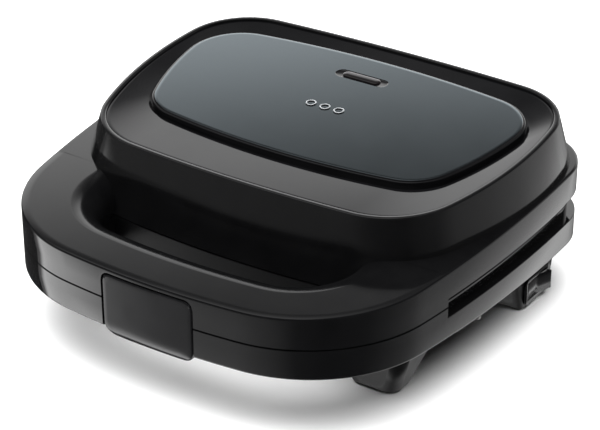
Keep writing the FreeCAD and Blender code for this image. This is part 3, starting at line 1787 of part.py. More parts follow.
def export():
    """Recomputes the document, checks every object and writes one file per sub-part."""
    doc.recompute()
    for thing in doc.Objects:
        check(thing)
    os.makedirs("parts", exist_ok=True)
    for thing in parts:
        shape = thing.Shape
        if shape.isNull() or not shape.isValid() or not shape.Solids:
            raise RuntimeError(thing.Label + " has no valid solid")
        shape.exportStep("parts/" + thing.Label + ".step")
        print("%-24s %2d %9.2f cm3" % (thing.Label, len(shape.Solids), shape.Volume / 1000))


def build():
    fill_sheet()
    base_shell()
    handle_covers()
    bottom_cover()
    rubber_feet()
    base_frame()
    lid_frame()
    donut_plate("lower_plate", "Sizes.lower_plate_top", -1)
    donut_plate("upper_plate", "Sizes.upper_plate_bottom", 1)
    heating_parts()
    screws()
    lid_shell()
    top_dish()
    inlay_and_lens()
    badge()
    lamp()
    hinges()
    latch()
    latch_spring()
    latch_catch()
    switch_bezel()
    power_rocker()
    electrics()
    export()


build()
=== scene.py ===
import json
import math

import bmesh
import bpy
import numpy as np
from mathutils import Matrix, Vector


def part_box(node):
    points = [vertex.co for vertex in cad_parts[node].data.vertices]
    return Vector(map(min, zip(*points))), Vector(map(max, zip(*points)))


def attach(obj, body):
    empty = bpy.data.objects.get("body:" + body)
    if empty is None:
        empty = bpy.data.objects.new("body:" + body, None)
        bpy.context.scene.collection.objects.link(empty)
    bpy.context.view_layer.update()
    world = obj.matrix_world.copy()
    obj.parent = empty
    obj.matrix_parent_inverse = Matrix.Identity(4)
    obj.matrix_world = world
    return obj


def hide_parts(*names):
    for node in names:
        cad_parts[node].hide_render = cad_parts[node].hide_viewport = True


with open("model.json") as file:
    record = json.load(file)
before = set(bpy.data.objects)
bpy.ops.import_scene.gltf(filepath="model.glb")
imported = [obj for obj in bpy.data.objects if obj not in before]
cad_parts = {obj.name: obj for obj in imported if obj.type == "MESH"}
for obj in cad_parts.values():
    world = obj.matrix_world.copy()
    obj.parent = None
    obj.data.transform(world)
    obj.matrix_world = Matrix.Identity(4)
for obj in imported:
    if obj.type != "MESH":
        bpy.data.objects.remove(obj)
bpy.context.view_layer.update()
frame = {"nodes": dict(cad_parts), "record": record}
NODES = frame["nodes"]
MM = 0.001
WELD = 2e-6
SHARP_LOOK = math.radians(35)
SHARP_CAD = math.radians(30)

# ------------------------------------------------------------------ outlines
# The ovals and levels are the CAD model's own driving sizes, in millimetres.
OVAL_KEYS = (
    "half_width", "front", "rear", "wide_at", "front_crown", "side_crown", "rear_crown",
    "front_corner", "rear_corner",
)
OVALS = {
    "band": (130, -127.4, 126.3, 53.8, 461.5, 751.7, 600, 77, 35.7),
    "waist": (127.4, -59.9, 122.3, 58, 558, 260, 700, 52, 38),
    "shoulder": (127.4, -55.2, 122.3, 58, 700, 260, 700, 50, 38),
    "cavity": (122.4, -56.7, 118.5, 54, 555, 500, 600, 50, 30),
    "rim": (121.2, -50.0, 118.6, 53.4, 905, 230, 1470, 47.7, 40.4),
    "island": (107, -15.1, 100.4, 76.8, 452.8, 189, 564, 29.7, 31.3),
    "opening": (75, -87.7, -34, -52, 430, 3000, 3000, 30, 18),
}
LID_LOW = 52.9
BASE_TOP = 52.3
BAND_TOP = 74.0
BAND_TOP_SLOPE = math.radians(1.72)
BAND_BOTTOM = 32.95
BAND_BOTTOM_SLOPE = math.radians(-1.15)
RIM_LEVEL = 96.4
RIM_SLOPE = math.radians(3.485)
RECESS_DEPTH = 4.5
RECESS_FRONT = -39.2
RECESS_LOW = 46.5
RECESS_HIGH = 60.0
SEAT_HALF = 28.7
SEAT_CORNER = 5.3
SEAT_TOP = 67.9
SEAT_REAR = -121.0
SLOT_REAR = -113.5
ROLL = 16.0
UNDER_ROLL = 6.0
HANDLE_END = -42.0
# Levels of the skins' inner edges, inside the shells where nothing is seen.
HIDDEN = 60.5
HIDDEN_BASE = 45.0
# The part of the opening's edge that lies behind this line is the body's front wall, and
# there the skin's inner edge stays on this side of the body.
BEHIND = -54.0
BODY_SIDE = 103.0
# Small roundings and steps at the lips, and a hair's breadth for faces that must not meet.
LIP = 0.25
EASE = 0.3
HAIR = 0.1
# How far inside the shoulder the flat top of the band ends.
LEDGE = 3


def corner_centre(first, first_radius, second, second_radius, radius):
    """Centre of a circle that touches two larger circles from inside."""
    a = first_radius - radius
    b = second_radius - radius
    between = second - first
    distance = np.hypot(*between)
    along = (a * a - b * b + distance * distance) / (2 * distance)
    unit = between / distance
    normal = np.array([-unit[1], unit[0]])
    return first + unit * along + normal * math.sqrt(a * a - along * along)


def oval_arcs(prefix, inset=0.0):
    """The right half's arcs from the front middle to the rear middle: (centre, radius, angles)."""
    v = dict(zip(OVAL_KEYS, OVALS[prefix]))
    front = np.array([0.0, v["front"] + v["front_crown"]])
    rear = np.array([0.0, v["rear"] - v["rear_crown"]])
    side = np.array([v["half_width"] - v["side_crown"], v["wide_at"]])
    fr, sr, rr = v["front_crown"] - inset, v["side_crown"] - inset, v["rear_crown"] - inset
    fc, rc = v["front_corner"] - inset, v["rear_corner"] - inset
    low = corner_centre(front, fr, side, sr, fc)
    high = corner_centre(side, sr, rear, rr, rc)

    def angle(centre, corner):
        direction = corner - centre
        return math.atan2(direction[1], direction[0])

    a = angle(front, low)
    b = angle(side, low)
    c = angle(side, high)
    d = angle(rear, high)
    return [
        (front, fr, -math.pi / 2, a),
        (low, fc, a, b),
        (side, sr, b, c),
        (high, rc, c, d),
        (rear, rr, d, math.pi / 2),
    ]


def half_points(prefix, ts, inset=0.0):
    """Points of the right half for parameters 0 (front middle) to 5 (rear middle)."""
    arcs = oval_arcs(prefix, inset)
    points = np.zeros((len(ts), 2))
    for index, t in enumerate(ts):
        piece = min(int(t), 4)
        centre, radius, start, end = arcs[piece]
        angle = start + (end - start) * (t - piece)
        points[index] = centre + radius * np.array([math.cos(angle), math.sin(angle)])
    return points


def parameter_at(prefix, axis, value, low, high, inset=0.0):
    """The parameter between low and high at which x or y of the half outline has a value."""
    for _ in range(60):
        middle = (low + high) / 2
        if half_points(prefix, [middle], inset)[0][axis] < value:
            low = middle
        else:
            high = middle
    return (low + high) / 2


def lifted(points, heights):
    return np.column_stack([points, np.broadcast_to(heights, len(points))])


def tilted(points, level, slope, above=0.0):
    """Points drawn on a plane that slopes about X, moved square off that plane."""
    c, s = math.cos(slope), math.sin(slope)
    y = points[:, 1] * c - above * s
    z = level + points[:, 1] * s + above * c
    return np.column_stack([points[:, 0], y, z])


# ------------------------------------------------------------------ mesh building


def add_rings(bm, rings, material=0, flip=False):
    """Quads between closed rings of equal length. material is one slot, or a list of slots."""
    rows = [[bm.verts.new(Vector(p) * MM) for p in ring] for ring in rings]
    count = len(rings[0])
    for level in range(len(rows) - 1):
        slot_index = material[level] if isinstance(material, list) else material
        for i in range(count):
            j = (i + 1) % count
            quad = [rows[level][i], rows[level][j], rows[level + 1][j], rows[level + 1][i]]
            face = bm.faces.new(quad[::-1] if flip else quad)
            face.material_index = slot_index
            face.smooth = True
    return rows


def cap(bm, row, material=0):
    face = bm.faces.new(row)
    face.material_index = material
    face.smooth = True
    return face


def finish_mesh(bm, name, materials, body, nodes):
    """Cleans the mesh, marks its sharp edges and puts it on its body in place of CAD nodes."""
    bmesh.ops.remove_doubles(bm, verts=bm.verts, dist=WELD)
    bmesh.ops.dissolve_degenerate(bm, edges=bm.edges, dist=WELD / 2)
    bmesh.ops.recalc_face_normals(bm, faces=bm.faces)
    mesh = bpy.data.meshes.new(name)
    bm.to_mesh(mesh)
    bm.free()
    obj = bpy.data.objects.new(name, mesh)
    bpy.context.scene.collection.objects.link(obj)
    for material in materials:
        mesh.materials.append(material)
    mesh.set_sharp_from_angle(angle=SHARP_LOOK)
    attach(obj, body)
    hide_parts(*nodes)


# ------------------------------------------------------------------ materials


def rgb(*values):
    return tuple(values) + (1.0,)


class Paint:
    """A small helper that builds a node material round one Principled shader."""

    def __init__(self, name, **sockets):
        self.material = bpy.data.materials.new(name)
        self.material.use_nodes = True
        self.tree = self.material.node_tree
        self.shader = self.tree.nodes["Principled BSDF"]
        for key, value in sockets.items():
            self.shader.inputs[key.replace("_", " ")].default_value = value
        self.place = self.tree.nodes.new("ShaderNodeTexCoord").outputs["Object"]

    def noise(self, scale, detail=3.0, rough=0.55, stretch=None):
        node = self.tree.nodes.new("ShaderNodeTexNoise")
        node.inputs["Scale"].default_value = scale
        node.inputs["Detail"].default_value = detail
        node.inputs["Roughness"].default_value = rough
        place = self.place
        if stretch:
            mapping = self.tree.nodes.new("ShaderNodeMapping")
            mapping.inputs["Scale"].default_value = stretch
            self.tree.links.new(place, mapping.inputs["Vector"])
            place = mapping.outputs["Vector"]
        self.tree.links.new(place, node.inputs["Vector"])
        return node.outputs["Fac"]

    def cells(self, scale, feature="F1"):
        node = self.tree.nodes.new("ShaderNodeTexVoronoi")
        node.feature = feature
        node.inputs["Scale"].default_value = scale
        self.tree.links.new(self.place, node.inputs["Vector"])
        return node.outputs["Distance"]

    def spread(self, value, low, high, start=0.3, end=0.7):
        node = self.tree.nodes.new("ShaderNodeMapRange")
        node.inputs["From Min"].default_value = start
        node.inputs["From Max"].default_value = end
        node.inputs["To Min"].default_value = low
        node.inputs["To Max"].default_value = high
        self.tree.links.new(value, node.inputs["Value"])
        return node.outputs["Result"]

    def blend(self, value, first, second, start=0.3, end=0.7):
        ramp = self.tree.nodes.new("ShaderNodeValToRGB")
        ramp.color_ramp.elements[0].position = start
        ramp.color_ramp.elements[0].color = first
        ramp.color_ramp.elements[1].position = end
        ramp.color_ramp.elements[1].color = second
        self.tree.links.new(value, ramp.inputs["Fac"])
        return ramp.outputs["Color"]

    def feed(self, socket, value):
        self.tree.links.new(value, self.shader.inputs[socket])
        return self

    def bump(self, value, depth, strength=1.0, after=None):
        """Height in millimetres. A second bump can follow a first one."""
        node = self.tree.nodes.new("ShaderNodeBump")
        node.inputs["Strength"].default_value = strength
        node.inputs["Distance"].default_value = depth * MM
        self.tree.links.new(value, node.inputs["Height"])
        if after:
            self.tree.links.new(after, node.inputs["Normal"])
        return node.outputs["Normal"]

    def edges(self, radius):
        node = self.tree.nodes.new("ShaderNodeBevel")
        node.samples = 4
        node.inputs["Radius"].default_value = radius * MM
        return node.outputs["Normal"]


def plastic(name, low, high, rough, grain, specular=0.5, edge=None):
    """Moulded plastic: faint mottling, uneven gloss, fine grain and a few long soft waves.

    rough is the least and the most roughness, and grain is its scale and its depth.
    """
    grain_scale, grain_depth = grain
    paint = Paint(name, Specular_IOR_Level=specular)
    paint.feed("Base Color", paint.blend(paint.noise(60), low, high))
    wear = paint.noise(35, 6, 0.65)
    paint.feed("Roughness", paint.spread(wear, *rough))
    start = paint.edges(edge) if edge else None
    waves = paint.bump(paint.noise(9, 1), 0.05, 0.35, start)
    paint.feed("Normal", paint.bump(paint.noise(grain_scale, 2), grain_depth, 0.6, waves))
    return paint.material


GLOSS = plastic(
    "gloss_black", rgb(0.0022, 0.0022, 0.0024), rgb(0.0030, 0.0030, 0.0033),
    rough=(0.035, 0.07), grain=(1500, 0.0004),
)
SATIN = plastic(
    "satin_black", rgb(0.0025, 0.0025, 0.0027), rgb(0.0036, 0.0036, 0.0038),
    rough=(0.085, 0.105), grain=(2400, 0.0008),
)
SOFT = plastic(
    "soft_black", rgb(0.0022, 0.0022, 0.0024), rgb(0.0032, 0.0032, 0.0034),
    rough=(0.15, 0.19), grain=(2400, 0.0008), specular=0.28,
)
DISH = plastic(
    "dish_black", rgb(0.0022, 0.0022, 0.0025), rgb(0.0032, 0.0032, 0.0036),
    rough=(0.05, 0.09), grain=(1400, 0.0004),
)
LATCH = plastic(
    "latch_black", rgb(0.005, 0.005, 0.0054), rgb(0.007, 0.007, 0.0076),
    rough=(0.10, 0.14), grain=(1500, 0.0006), specular=0.2,
)
# A darker, barely reflecting copy of the black plastic for the base's wall in the finger opening:
# painted shade where the opening lies dark.
SHADE = plastic(
    "shade_black", rgb(0.002, 0.002, 0.0022), rgb(0.003, 0.003, 0.0033),
    rough=(0.30, 0.40), grain=(1800, 0.004), specular=0.08,
)
MATT = plastic(
    "matt_black", rgb(0.004, 0.004, 0.0043), rgb(0.006, 0.006, 0.0063),
    rough=(0.42, 0.55), grain=(1800, 0.012), specular=0.2, edge=0.5,
)
SWITCH = plastic(
    "switch_black", rgb(0.004, 0.004, 0.0045), rgb(0.007, 0.007, 0.0075),
    rough=(0.16, 0.24), grain=(1600, 0.004), specular=0.3, edge=0.3,
)
LENS = plastic(
    "smoked_lens", rgb(0.002, 0.002, 0.0025), rgb(0.005, 0.004, 0.004),
    rough=(0.04, 0.07), grain=(900, 0.0004),
)
RUBBER = plastic(
    "rubber", rgb(0.018, 0.018, 0.019), rgb(0.035, 0.034, 0.034),
    rough=(0.65, 0.85), grain=(1200, 0.05), specular=0.3, edge=0.4,
)
CREAM = plastic(
    "cream_plastic", rgb(0.62, 0.58, 0.49), rgb(0.72, 0.69, 0.60),
    rough=(0.35, 0.5), grain=(1200, 0.02), edge=0.3,
)


def metal(name, low, high, rough, stretch, depth, edge=0.25):
    """Plated or sheet metal: brushed or rolled grain, tone and gloss variation."""
    paint = Paint(name, Metallic=1.0)
    paint.feed("Base Color", paint.blend(paint.noise(45, 5), low, high))
    paint.feed("Roughness", paint.spread(paint.noise(90, 5, 0.6, stretch), *rough))
    grain = paint.noise(700, 3, 0.6, stretch)
    paint.feed("Normal", paint.bump(grain, depth, 0.5, paint.edges(edge)))
    return paint.material


ZINC = metal(
    "zinc_plate", rgb(0.48, 0.48, 0.47), rgb(0.62, 0.61, 0.57),
    rough=(0.25, 0.42), stretch=(1, 1, 6), depth=0.01,
)
SCREW = metal(
    "screw_steel", rgb(0.22, 0.22, 0.23), rgb(0.36, 0.35, 0.34),
    rough=(0.28, 0.40), stretch=(3, 3, 1), depth=0.01, edge=0.2,
)
SPRING = metal(
    "spring_wire", rgb(0.30, 0.30, 0.31), rgb(0.45, 0.45, 0.45),
    rough=(0.2, 0.3), stretch=(1, 1, 1), depth=0.004, edge=0.05,
)
SHEET = metal(
    "bright_sheet", rgb(0.62, 0.63, 0.64), rgb(0.75, 0.75, 0.75),
    rough=(0.16, 0.30), stretch=(1, 8, 1), depth=0.012,
)
SHEATH = metal(
    "element_sheath", rgb(0.16, 0.14, 0.12), rgb(0.33, 0.29, 0.25),
    rough=(0.38, 0.55), stretch=(1, 4, 4), depth=0.02,
)
BADGE = metal(
    "badge_grey", rgb(0.50, 0.52, 0.54), rgb(0.58, 0.60, 0.62),
    rough=(0.25, 0.35), stretch=(1, 1, 1), depth=0.002, edge=0.08,
)


def inlay_metal():
    """Dark polished metal with a blue-grey cast and very fine flake under its lacquer."""
    paint = Paint("inlay_metal", Metallic=1.0)
    tone = paint.blend(paint.noise(2600, 2), rgb(0.118, 0.140, 0.152), rgb(0.142, 0.166, 0.180))
    paint.feed("Base Color", tone)
    paint.feed("Roughness", paint.spread(paint.noise(30, 5, 0.6), 0.09, 0.11))
    paint.feed("Normal", paint.bump(paint.noise(2600, 2), 0.0012, 0.3))
    return paint.material


def coated_aluminium():
    """Dark non-stick coating with fine mineral specks over sand-cast metal."""
    paint = Paint("nonstick_coat", Metallic=0.25, Specular_IOR_Level=0.6)
    specks = paint.cells(900)
    fleck, coat = rgb(0.10, 0.10, 0.10), rgb(0.028, 0.028, 0.030)
    paint.feed("Base Color", paint.blend(specks, fleck, coat, 0.05, 0.16))
    paint.feed("Roughness", paint.spread(paint.noise(50, 5), 0.30, 0.44))
    waves = paint.bump(paint.noise(25, 3), 0.05, 0.4, paint.edges(0.8))
    paint.feed("Normal", paint.bump(paint.noise(1500, 2), 0.02, 0.6, waves))
    return paint.material


def board_green():
    """A lacquered circuit board with lighter tracks."""
    paint = Paint("circuit_board", Specular_IOR_Level=0.5)
    tracks = paint.cells(260, "DISTANCE_TO_EDGE")
    track, ground = rgb(0.10, 0.30, 0.12), rgb(0.02, 0.10, 0.045)
    paint.feed("Base Color", paint.blend(tracks, track, ground, 0.06, 0.10))
    paint.feed("Roughness", paint.spread(paint.noise(80), 0.25, 0.4))
    paint.feed("Normal", paint.bump(tracks, 0.03, 0.5, paint.edges(0.15)))
    return paint.material


def amber():
    """Clouded amber plastic that lets some light through."""
    paint = Paint("amber_lamp", Transmission_Weight=0.35, Subsurface_Weight=0.2)
    dark, light = rgb(0.75, 0.22, 0.04), rgb(0.95, 0.38, 0.08)
    paint.feed("Base Color", paint.blend(paint.noise(200), dark, light))
    paint.feed("Roughness", paint.spread(paint.noise(120), 0.10, 0.22))
    paint.feed("Normal", paint.bump(paint.noise(600), 0.01, 0.4))
    return paint.material


INLAY = inlay_metal()
COATED = coated_aluminium()
BOARD = board_green()
AMBER = amber()

SLOT_PAINT = {
    "shell_black": GLOSS, "latch_black": LATCH, "cover_black": MATT, "dish_black": DISH,
    "inlay_metal": INLAY, "lens_smoke": LENS, "lamp_amber": AMBER, "badge_grey": BADGE,
    "coated_aluminium": COATED, "element_steel": SHEATH, "reflector_steel": SHEET,
    "plated_steel": ZINC, "screw_steel": SCREW, "spring_steel": SPRING, "foot_rubber": RUBBER,
    "switch_black": SWITCH, "gland_black": RUBBER, "terminal_white": CREAM,
    "board_green": BOARD, "thermostat_ceramic": CREAM,
}

slots_of = {entry["node"]: entry["material_slot"] for entry in frame["record"]["subparts"]}
for name, obj in NODES.items():
    obj.data.materials.clear()
    obj.data.materials.append(SLOT_PAINT[slots_of[name]])
    weld = obj.modifiers.new("weld", "WELD")
    weld.merge_threshold = WELD / 2
    obj.data.set_sharp_from_angle(angle=SHARP_CAD)

# ------------------------------------------------------------------ handle and bands

# The parameter of an outline's rear middle point.
LAST = 5


def steps(low, high, count):
    return list(np.linspace(low, high, count + 1))


def band_columns():
    """Half-outline columns of the band: parameters, with doubled ones where a recess begins."""
    seat = parameter_at("band", 0, SEAT_HALF, 0, 1)
    corner = parameter_at("band", 0, SEAT_HALF - SEAT_CORNER, 0, 1)
    handle = parameter_at("band", 1, HANDLE_END, 0, 3)
    groove = parameter_at("band", 1, RECESS_FRONT, 0, 3)
    columns = []
    for t in steps(0, corner, 8)[:-1] + steps(corner, seat, 8):
        columns.append((t, "seat", "handle"))
    for t in steps(seat, 1, 14)[:-1] + steps(1, handle, 30):
        columns.append((t, "", "handle"))
    columns.append((handle, "", "body"))
    columns.append((groove, "", "body"))
    rest = steps(handle + 0.02, 3, 26)[1:] + steps(3, 4, 18)[1:] + steps(4, 5, 18)[1:]
    for t in [groove] + rest:
        columns.append((t, "groove", "body"))
    return columns, handle


def along(path, fractions):
    """Points at fractions of a path's length."""
    lengths = np.concatenate([[0], np.cumsum(np.hypot(*np.diff(path, axis=0).T))])
    at = np.asarray(fractions) * lengths[-1]
    return np.column_stack([np.interp(at, lengths, path[:, 0]), np.interp(at, lengths, path[:, 1])])


class Band:
    """One half's band: its outer wall, the handle loop, and the ledge round the body."""

    def __init__(self, upper):
        self.seat_y = SEAT_REAR if upper else SLOT_REAR
        columns, handle_t = band_columns()
        self.ts = [column[0] for column in columns]
        self.outer = half_points("band", self.ts)
        self.is_seat = np.array([column[1] == "seat" for column in columns])
        self.is_groove = np.array([column[1] == "groove" for column in columns])
        self.is_handle = np.array([column[2] == "handle" for column in columns])
        count = int(self.is_handle.sum())
        self.handle_share = np.array(self.ts[:count]) / handle_t
        self.body_share = (np.array(self.ts[count:]) - handle_t) / (LAST - handle_t)
        self.opening = self.inner("cavity", 0, 0)
        self.behind = (self.opening[:, 1] > BEHIND) & self.is_handle

    def inset(self, distance):
        return half_points("band", self.ts, distance)

    def recessed(self, distance=0.0):
        """The wall where the latch seat and the side groove are cut back."""
        points = self.inset(distance)
        groove = self.inset(RECESS_DEPTH + distance)
        points[self.is_groove] = groove[self.is_groove]
        points[self.is_seat, 1] = self.seat_y + distance
        points[self.is_seat, 0] = self.outer[self.is_seat, 0]
        return points

    def inner(self, prefix, body_inset, outset):
        """The inner side: the opening's edge for the handle, an oval for the body."""
        edge = [half_points("opening", steps(0, 1, 30)[:-1] + steps(1, 2, 40), -outset)]
        path = np.vstack(edge + [np.array([[edge[0][-1][0], HANDLE_END]])])
        handle = along(path, self.handle_share)
        start = parameter_at(prefix, 1, HANDLE_END, 0, 3, body_inset)
        body = half_points(prefix, list(start + (LAST - start) * self.body_share), body_inset)
        return np.vstack([handle, body])

    def middle(self):
        """Half way between the opening and the outer wall, as a step of the hidden face."""
        points = (self.opening + self.outer) / 2
        points[self.behind, 0] = BODY_SIDE
        points[~self.is_handle] = self.opening[~self.is_handle]
        return points

    def eased(self):
        """The outer wall, drawn in a little where a recess ends."""
        points = self.inset(EASE)
        kept = ~(self.is_seat | self.is_groove)
        points[kept] = self.outer[kept]
        return points


def top_of(points, level, slope):
    return level + math.tan(slope) * points[:, 1]


def seat_edge(band, level):
    """The height at which each column's recess ends: round corners on the latch seat."""
    heights = np.full(len(band.ts), float(level))
    reach = np.abs(band.outer[:, 0]) - (SEAT_HALF - SEAT_CORNER)
    drop = SEAT_CORNER - np.sqrt(np.clip(SEAT_CORNER**2 - np.clip(reach, 0, None) ** 2, 0, None))
    heights[band.is_seat] = (SEAT_TOP - drop)[band.is_seat]
    return heights


def upper_band(bm):
    """The lid's half: parting lip, wall, top edge, flat top and the roll into the opening."""
    band = Band(True)
    edge_radius = 1.0
    handle_flat, body_flat = 5.0, 1.6
    hidden_lift = 4.0
    shelf = np.where(band.is_handle, LID_LOW + HAIR, LID_LOW)
    inner_low = np.where(band.is_handle & ~band.behind, LID_LOW + HAIR, HIDDEN)
    step = seat_edge(band, RECESS_HIGH)
    wall = band.recessed()
    under = [
        lifted(band.opening, inner_low),
        lifted(band.middle(), shelf),
        lifted(band.recessed(1.2), shelf),
        lifted(band.recessed(1.0), LID_LOW),
        lifted(band.recessed(LIP), LID_LOW),
        lifted(wall, LID_LOW + LIP),
        lifted(wall, step),
        lifted(band.eased(), step),
        lifted(band.outer, step + EASE),
    ]
    top = []
    for turn in steps(0, math.pi / 2, 4):
        ring = band.inset(edge_radius * (1 - math.cos(turn)))
        drop = edge_radius * (1 - math.sin(turn))
        top.append(lifted(ring, top_of(ring, BAND_TOP, BAND_TOP_SLOPE) - drop))
    flat = band.inset(handle_flat)
    flat[~band.is_handle] = band.inset(body_flat)[~band.is_handle]
    limit = band.inner("shoulder", LEDGE, ROLL)
    for share in (0.0, 0.96, 1.0):
        ring = (1 - share) * flat + share * limit
        top.append(lifted(ring, top_of(ring, BAND_TOP, BAND_TOP_SLOPE)))
    rolled = []
    for turn in steps(0, math.pi / 2, 10):
        ring = band.inner("shoulder", LEDGE, ROLL * (1 - math.sin(turn)))
        height = top_of(ring, BAND_TOP, BAND_TOP_SLOPE) - ROLL * (1 - math.cos(turn))
        height = np.where(band.behind, np.maximum(height, HIDDEN), height)
        rolled.append(lifted(ring, np.where(band.is_handle, height, HIDDEN + hidden_lift)))
    gloss = len(under) + 4
    satin = len(top) - 4
    materials = [0] * gloss + [1] * satin + [2] * len(rolled)
    add_rings(bm, closed(under + top + rolled), materials)


def mirror_rows(ring):
    """A closed ring from its right half, front and rear middle points used once."""
    left = ring[1:-1][::-1].copy()
    left[:, 0] *= -1
    return np.vstack([ring, left])


def closed(rows):
    """Whole rings from half rings, with the first one again at the end to close the skin."""
    rings = [mirror_rows(row) for row in rows]
    return rings + [rings[0]]


def lower_band(bm):
    """The base's half: parting face, wall, bottom edge and the roll up into the opening."""
    band = Band(False)
    edge_radius = 1.4
    inner_top = np.where(band.is_handle & ~band.behind, BASE_TOP, HIDDEN_BASE)
    bottom = top_of(band.outer, BAND_BOTTOM, BAND_BOTTOM_SLOPE)
    step = np.where(band.is_seat, bottom + edge_radius, RECESS_LOW)
    wall = band.recessed()
    eased = band.eased()
    face = band.outer.copy()
    for points in (eased, face):
        points[band.is_seat] = wall[band.is_seat]
    rows = [
        lifted(band.opening, inner_top),
        lifted(band.middle(), BASE_TOP),
        lifted(band.recessed(LIP), BASE_TOP),
        lifted(wall, BASE_TOP - LIP),
        lifted(wall, step),
        lifted(eased, step),
        lifted(face, np.where(band.is_seat, step, step - EASE)),
    ]
    for turn in steps(0, math.pi / 2, 4):
        inset = edge_radius * (1 - math.cos(turn))
        ring = band.inset(inset)
        ring[band.is_seat] = band.recessed(inset)[band.is_seat]
        rise = edge_radius * (1 - math.sin(turn))
        rows.append(lifted(ring, top_of(ring, BAND_BOTTOM, BAND_BOTTOM_SLOPE) + rise))
    rolled_bottom = BAND_BOTTOM + HAIR
    limit = band.inner("cavity", 0, UNDER_ROLL)
    rows.append(lifted(limit, top_of(limit, rolled_bottom, BAND_BOTTOM_SLOPE)))
    for turn in steps(0, math.pi / 2, 6):
        ring = band.inner("cavity", 0, UNDER_ROLL * (1 - math.sin(turn)))
        rise = UNDER_ROLL * (1 - math.cos(turn))
        rows.append(lifted(ring, top_of(ring, rolled_bottom, BAND_BOTTOM_SLOPE) + rise))
    add_rings(bm, closed(rows))


# ------------------------------------------------------------------ dome

# How far the inner wall of the finger opening reaches to each side, and how far back.
OPENING_REACH = 96
OPENING_BACK = -30
RIM_WIDTH = 3.3


def full_ts():
    """Parameters all round a half outline, finest at the front."""
    ts = []
    for start, count in ((0, 24), (1, 20), (2, 20), (3, 18)):
        ts += steps(start, start + 1, count)[:-1]
    return ts + steps(4, 5, 20)


def on_rim(prefix, inset=0.0, above=0.0):
    """A half outline on the rim's sloping plane, drawn in and moved square off the plane."""
    return tilted(half_points(prefix, full_ts(), inset), RIM_LEVEL, RIM_SLOPE, above)


def in_opening(points):
    """Which points of the waist show in the finger opening."""
    return (np.abs(points[:, 0]) < OPENING_REACH) & (points[:, 1] < OPENING_BACK)


def dome(bm):
    """The lid's body: waist, drafted wall, rounded rim and the rim's inner wall."""
    ts = full_ts()
    chamfer = 0.8
    lip = 0.4
    waist = half_points("waist", ts)
    cavity = half_points("cavity", ts)
    low = np.where(in_opening(waist), LID_LOW, HIDDEN)
    rows = [
        lifted(cavity, HIDDEN + 1),
        lifted(cavity, low),
        lifted(half_points("waist", ts, LIP), low),
        lifted(waist, low + LIP),
        tilted(half_points("shoulder", ts), BAND_TOP, BAND_TOP_SLOPE),
        tilted(half_points("rim", ts), RIM_LEVEL - chamfer, RIM_SLOPE),
    ]
    for turn in steps(0, math.pi / 2, 4)[1:]:
        inset = chamfer * (1 - math.cos(turn))
        rows.append(on_rim("rim", inset, -chamfer * (1 - math.sin(turn))))
    for turn in steps(0, math.pi / 2, 3):
        inset = RIM_WIDTH - lip * (1 - math.sin(turn))
        rows.append(on_rim("rim", inset, -lip * (1 - math.cos(turn))))
    rows.append(on_rim("rim", RIM_WIDTH, -8))
    rows.append(on_rim("rim", RIM_WIDTH + 1.5, -8))
    add_rings(bm, closed(rows), 1)


def base_waist(bm):
    """The base's body: the wall under the lid's, seen only in the finger opening."""
    ts = full_ts()
    waist = half_points("waist", ts)
    cavity = half_points("cavity", ts)
    high = np.where(in_opening(waist), BASE_TOP, HIDDEN_BASE)
    bottom = top_of(waist, BAND_BOTTOM, BAND_BOTTOM_SLOPE) + 0.3
    rows = [
        lifted(cavity, bottom),
        lifted(cavity, high),
        lifted(half_points("waist", ts, LIP), high),
        lifted(waist, high - LIP),
        lifted(waist, bottom),
    ]
    # Slot 1 is the darker shade_black: painted shade on the wall seen through the finger opening.
    add_rings(bm, closed(rows), 1)


bm = bmesh.new()
upper_band(bm)
dome(bm)
finish_mesh(bm, "lid_shell_look", [GLOSS, SATIN, SOFT], "lid", ["lid_shell"])

bm = bmesh.new()
lower_band(bm)
base_waist(bm)
finish_mesh(bm, "base_shell_look", [GLOSS, SHADE], "base", ["base_shell"])

# ------------------------------------------------------------------ dish, inlay and lens


def dish():
    """A shallow basin that slopes from the rim to a groove round the island."""
    bm = bmesh.new()
    ts = full_ts()
    deep = -6.9
    edge = -1.2
    fall = 1.15
    rows = [on_rim("rim", 3.4, deep), on_rim("rim", 3.4, -1.5), on_rim("rim", 3.5, -1.25)]
    lip = half_points("rim", ts, 4.0)
    foot = half_points("island", ts, -2.2)
    for s in steps(0, 1, 14):
        rows.append(tilted(lip * (1 - s) + foot * s, RIM_LEVEL, RIM_SLOPE, edge - fall * s))
    groove = ((-1.7, -2.8), (-1.2, -3.6), (-0.15, -4.3), (0.0, -3.9))
    rows += [on_rim("island", inset, above) for inset, above in groove]
    radius = 0.4
    for turn in steps(0, math.pi / 2, 4):
        inset = radius * (1 - math.cos(turn))
        rows.append(on_rim("island", inset, 0.4 - radius * (1 - math.sin(turn))))
    seat = ((0.95, 0.4), (1.0, 0.3), (1.0, -0.85), (3.0, -0.85), (3.0, deep))
    rows += [on_rim("island", inset, above) for inset, above in seat]
    add_rings(bm, closed(rows))
    finish_mesh(bm, "top_dish_look", [DISH], "lid", ["top_dish"])


def pill_reach(toward, half, radius):
    """For each direction from a pill's middle, the share of it that reaches the outline."""
    length = np.hypot(toward[:, 0], toward[:, 1])
    c = np.abs(toward[:, 0]) / length
    s = np.abs(toward[:, 1]) / length
    side = radius / np.maximum(s, 1e-9)
    end = half * c + np.sqrt(np.clip(radius**2 - (half * s) ** 2, 0, None))
    return np.where(side * c <= half, side, end) / length


INLAY_FACE = 1.0


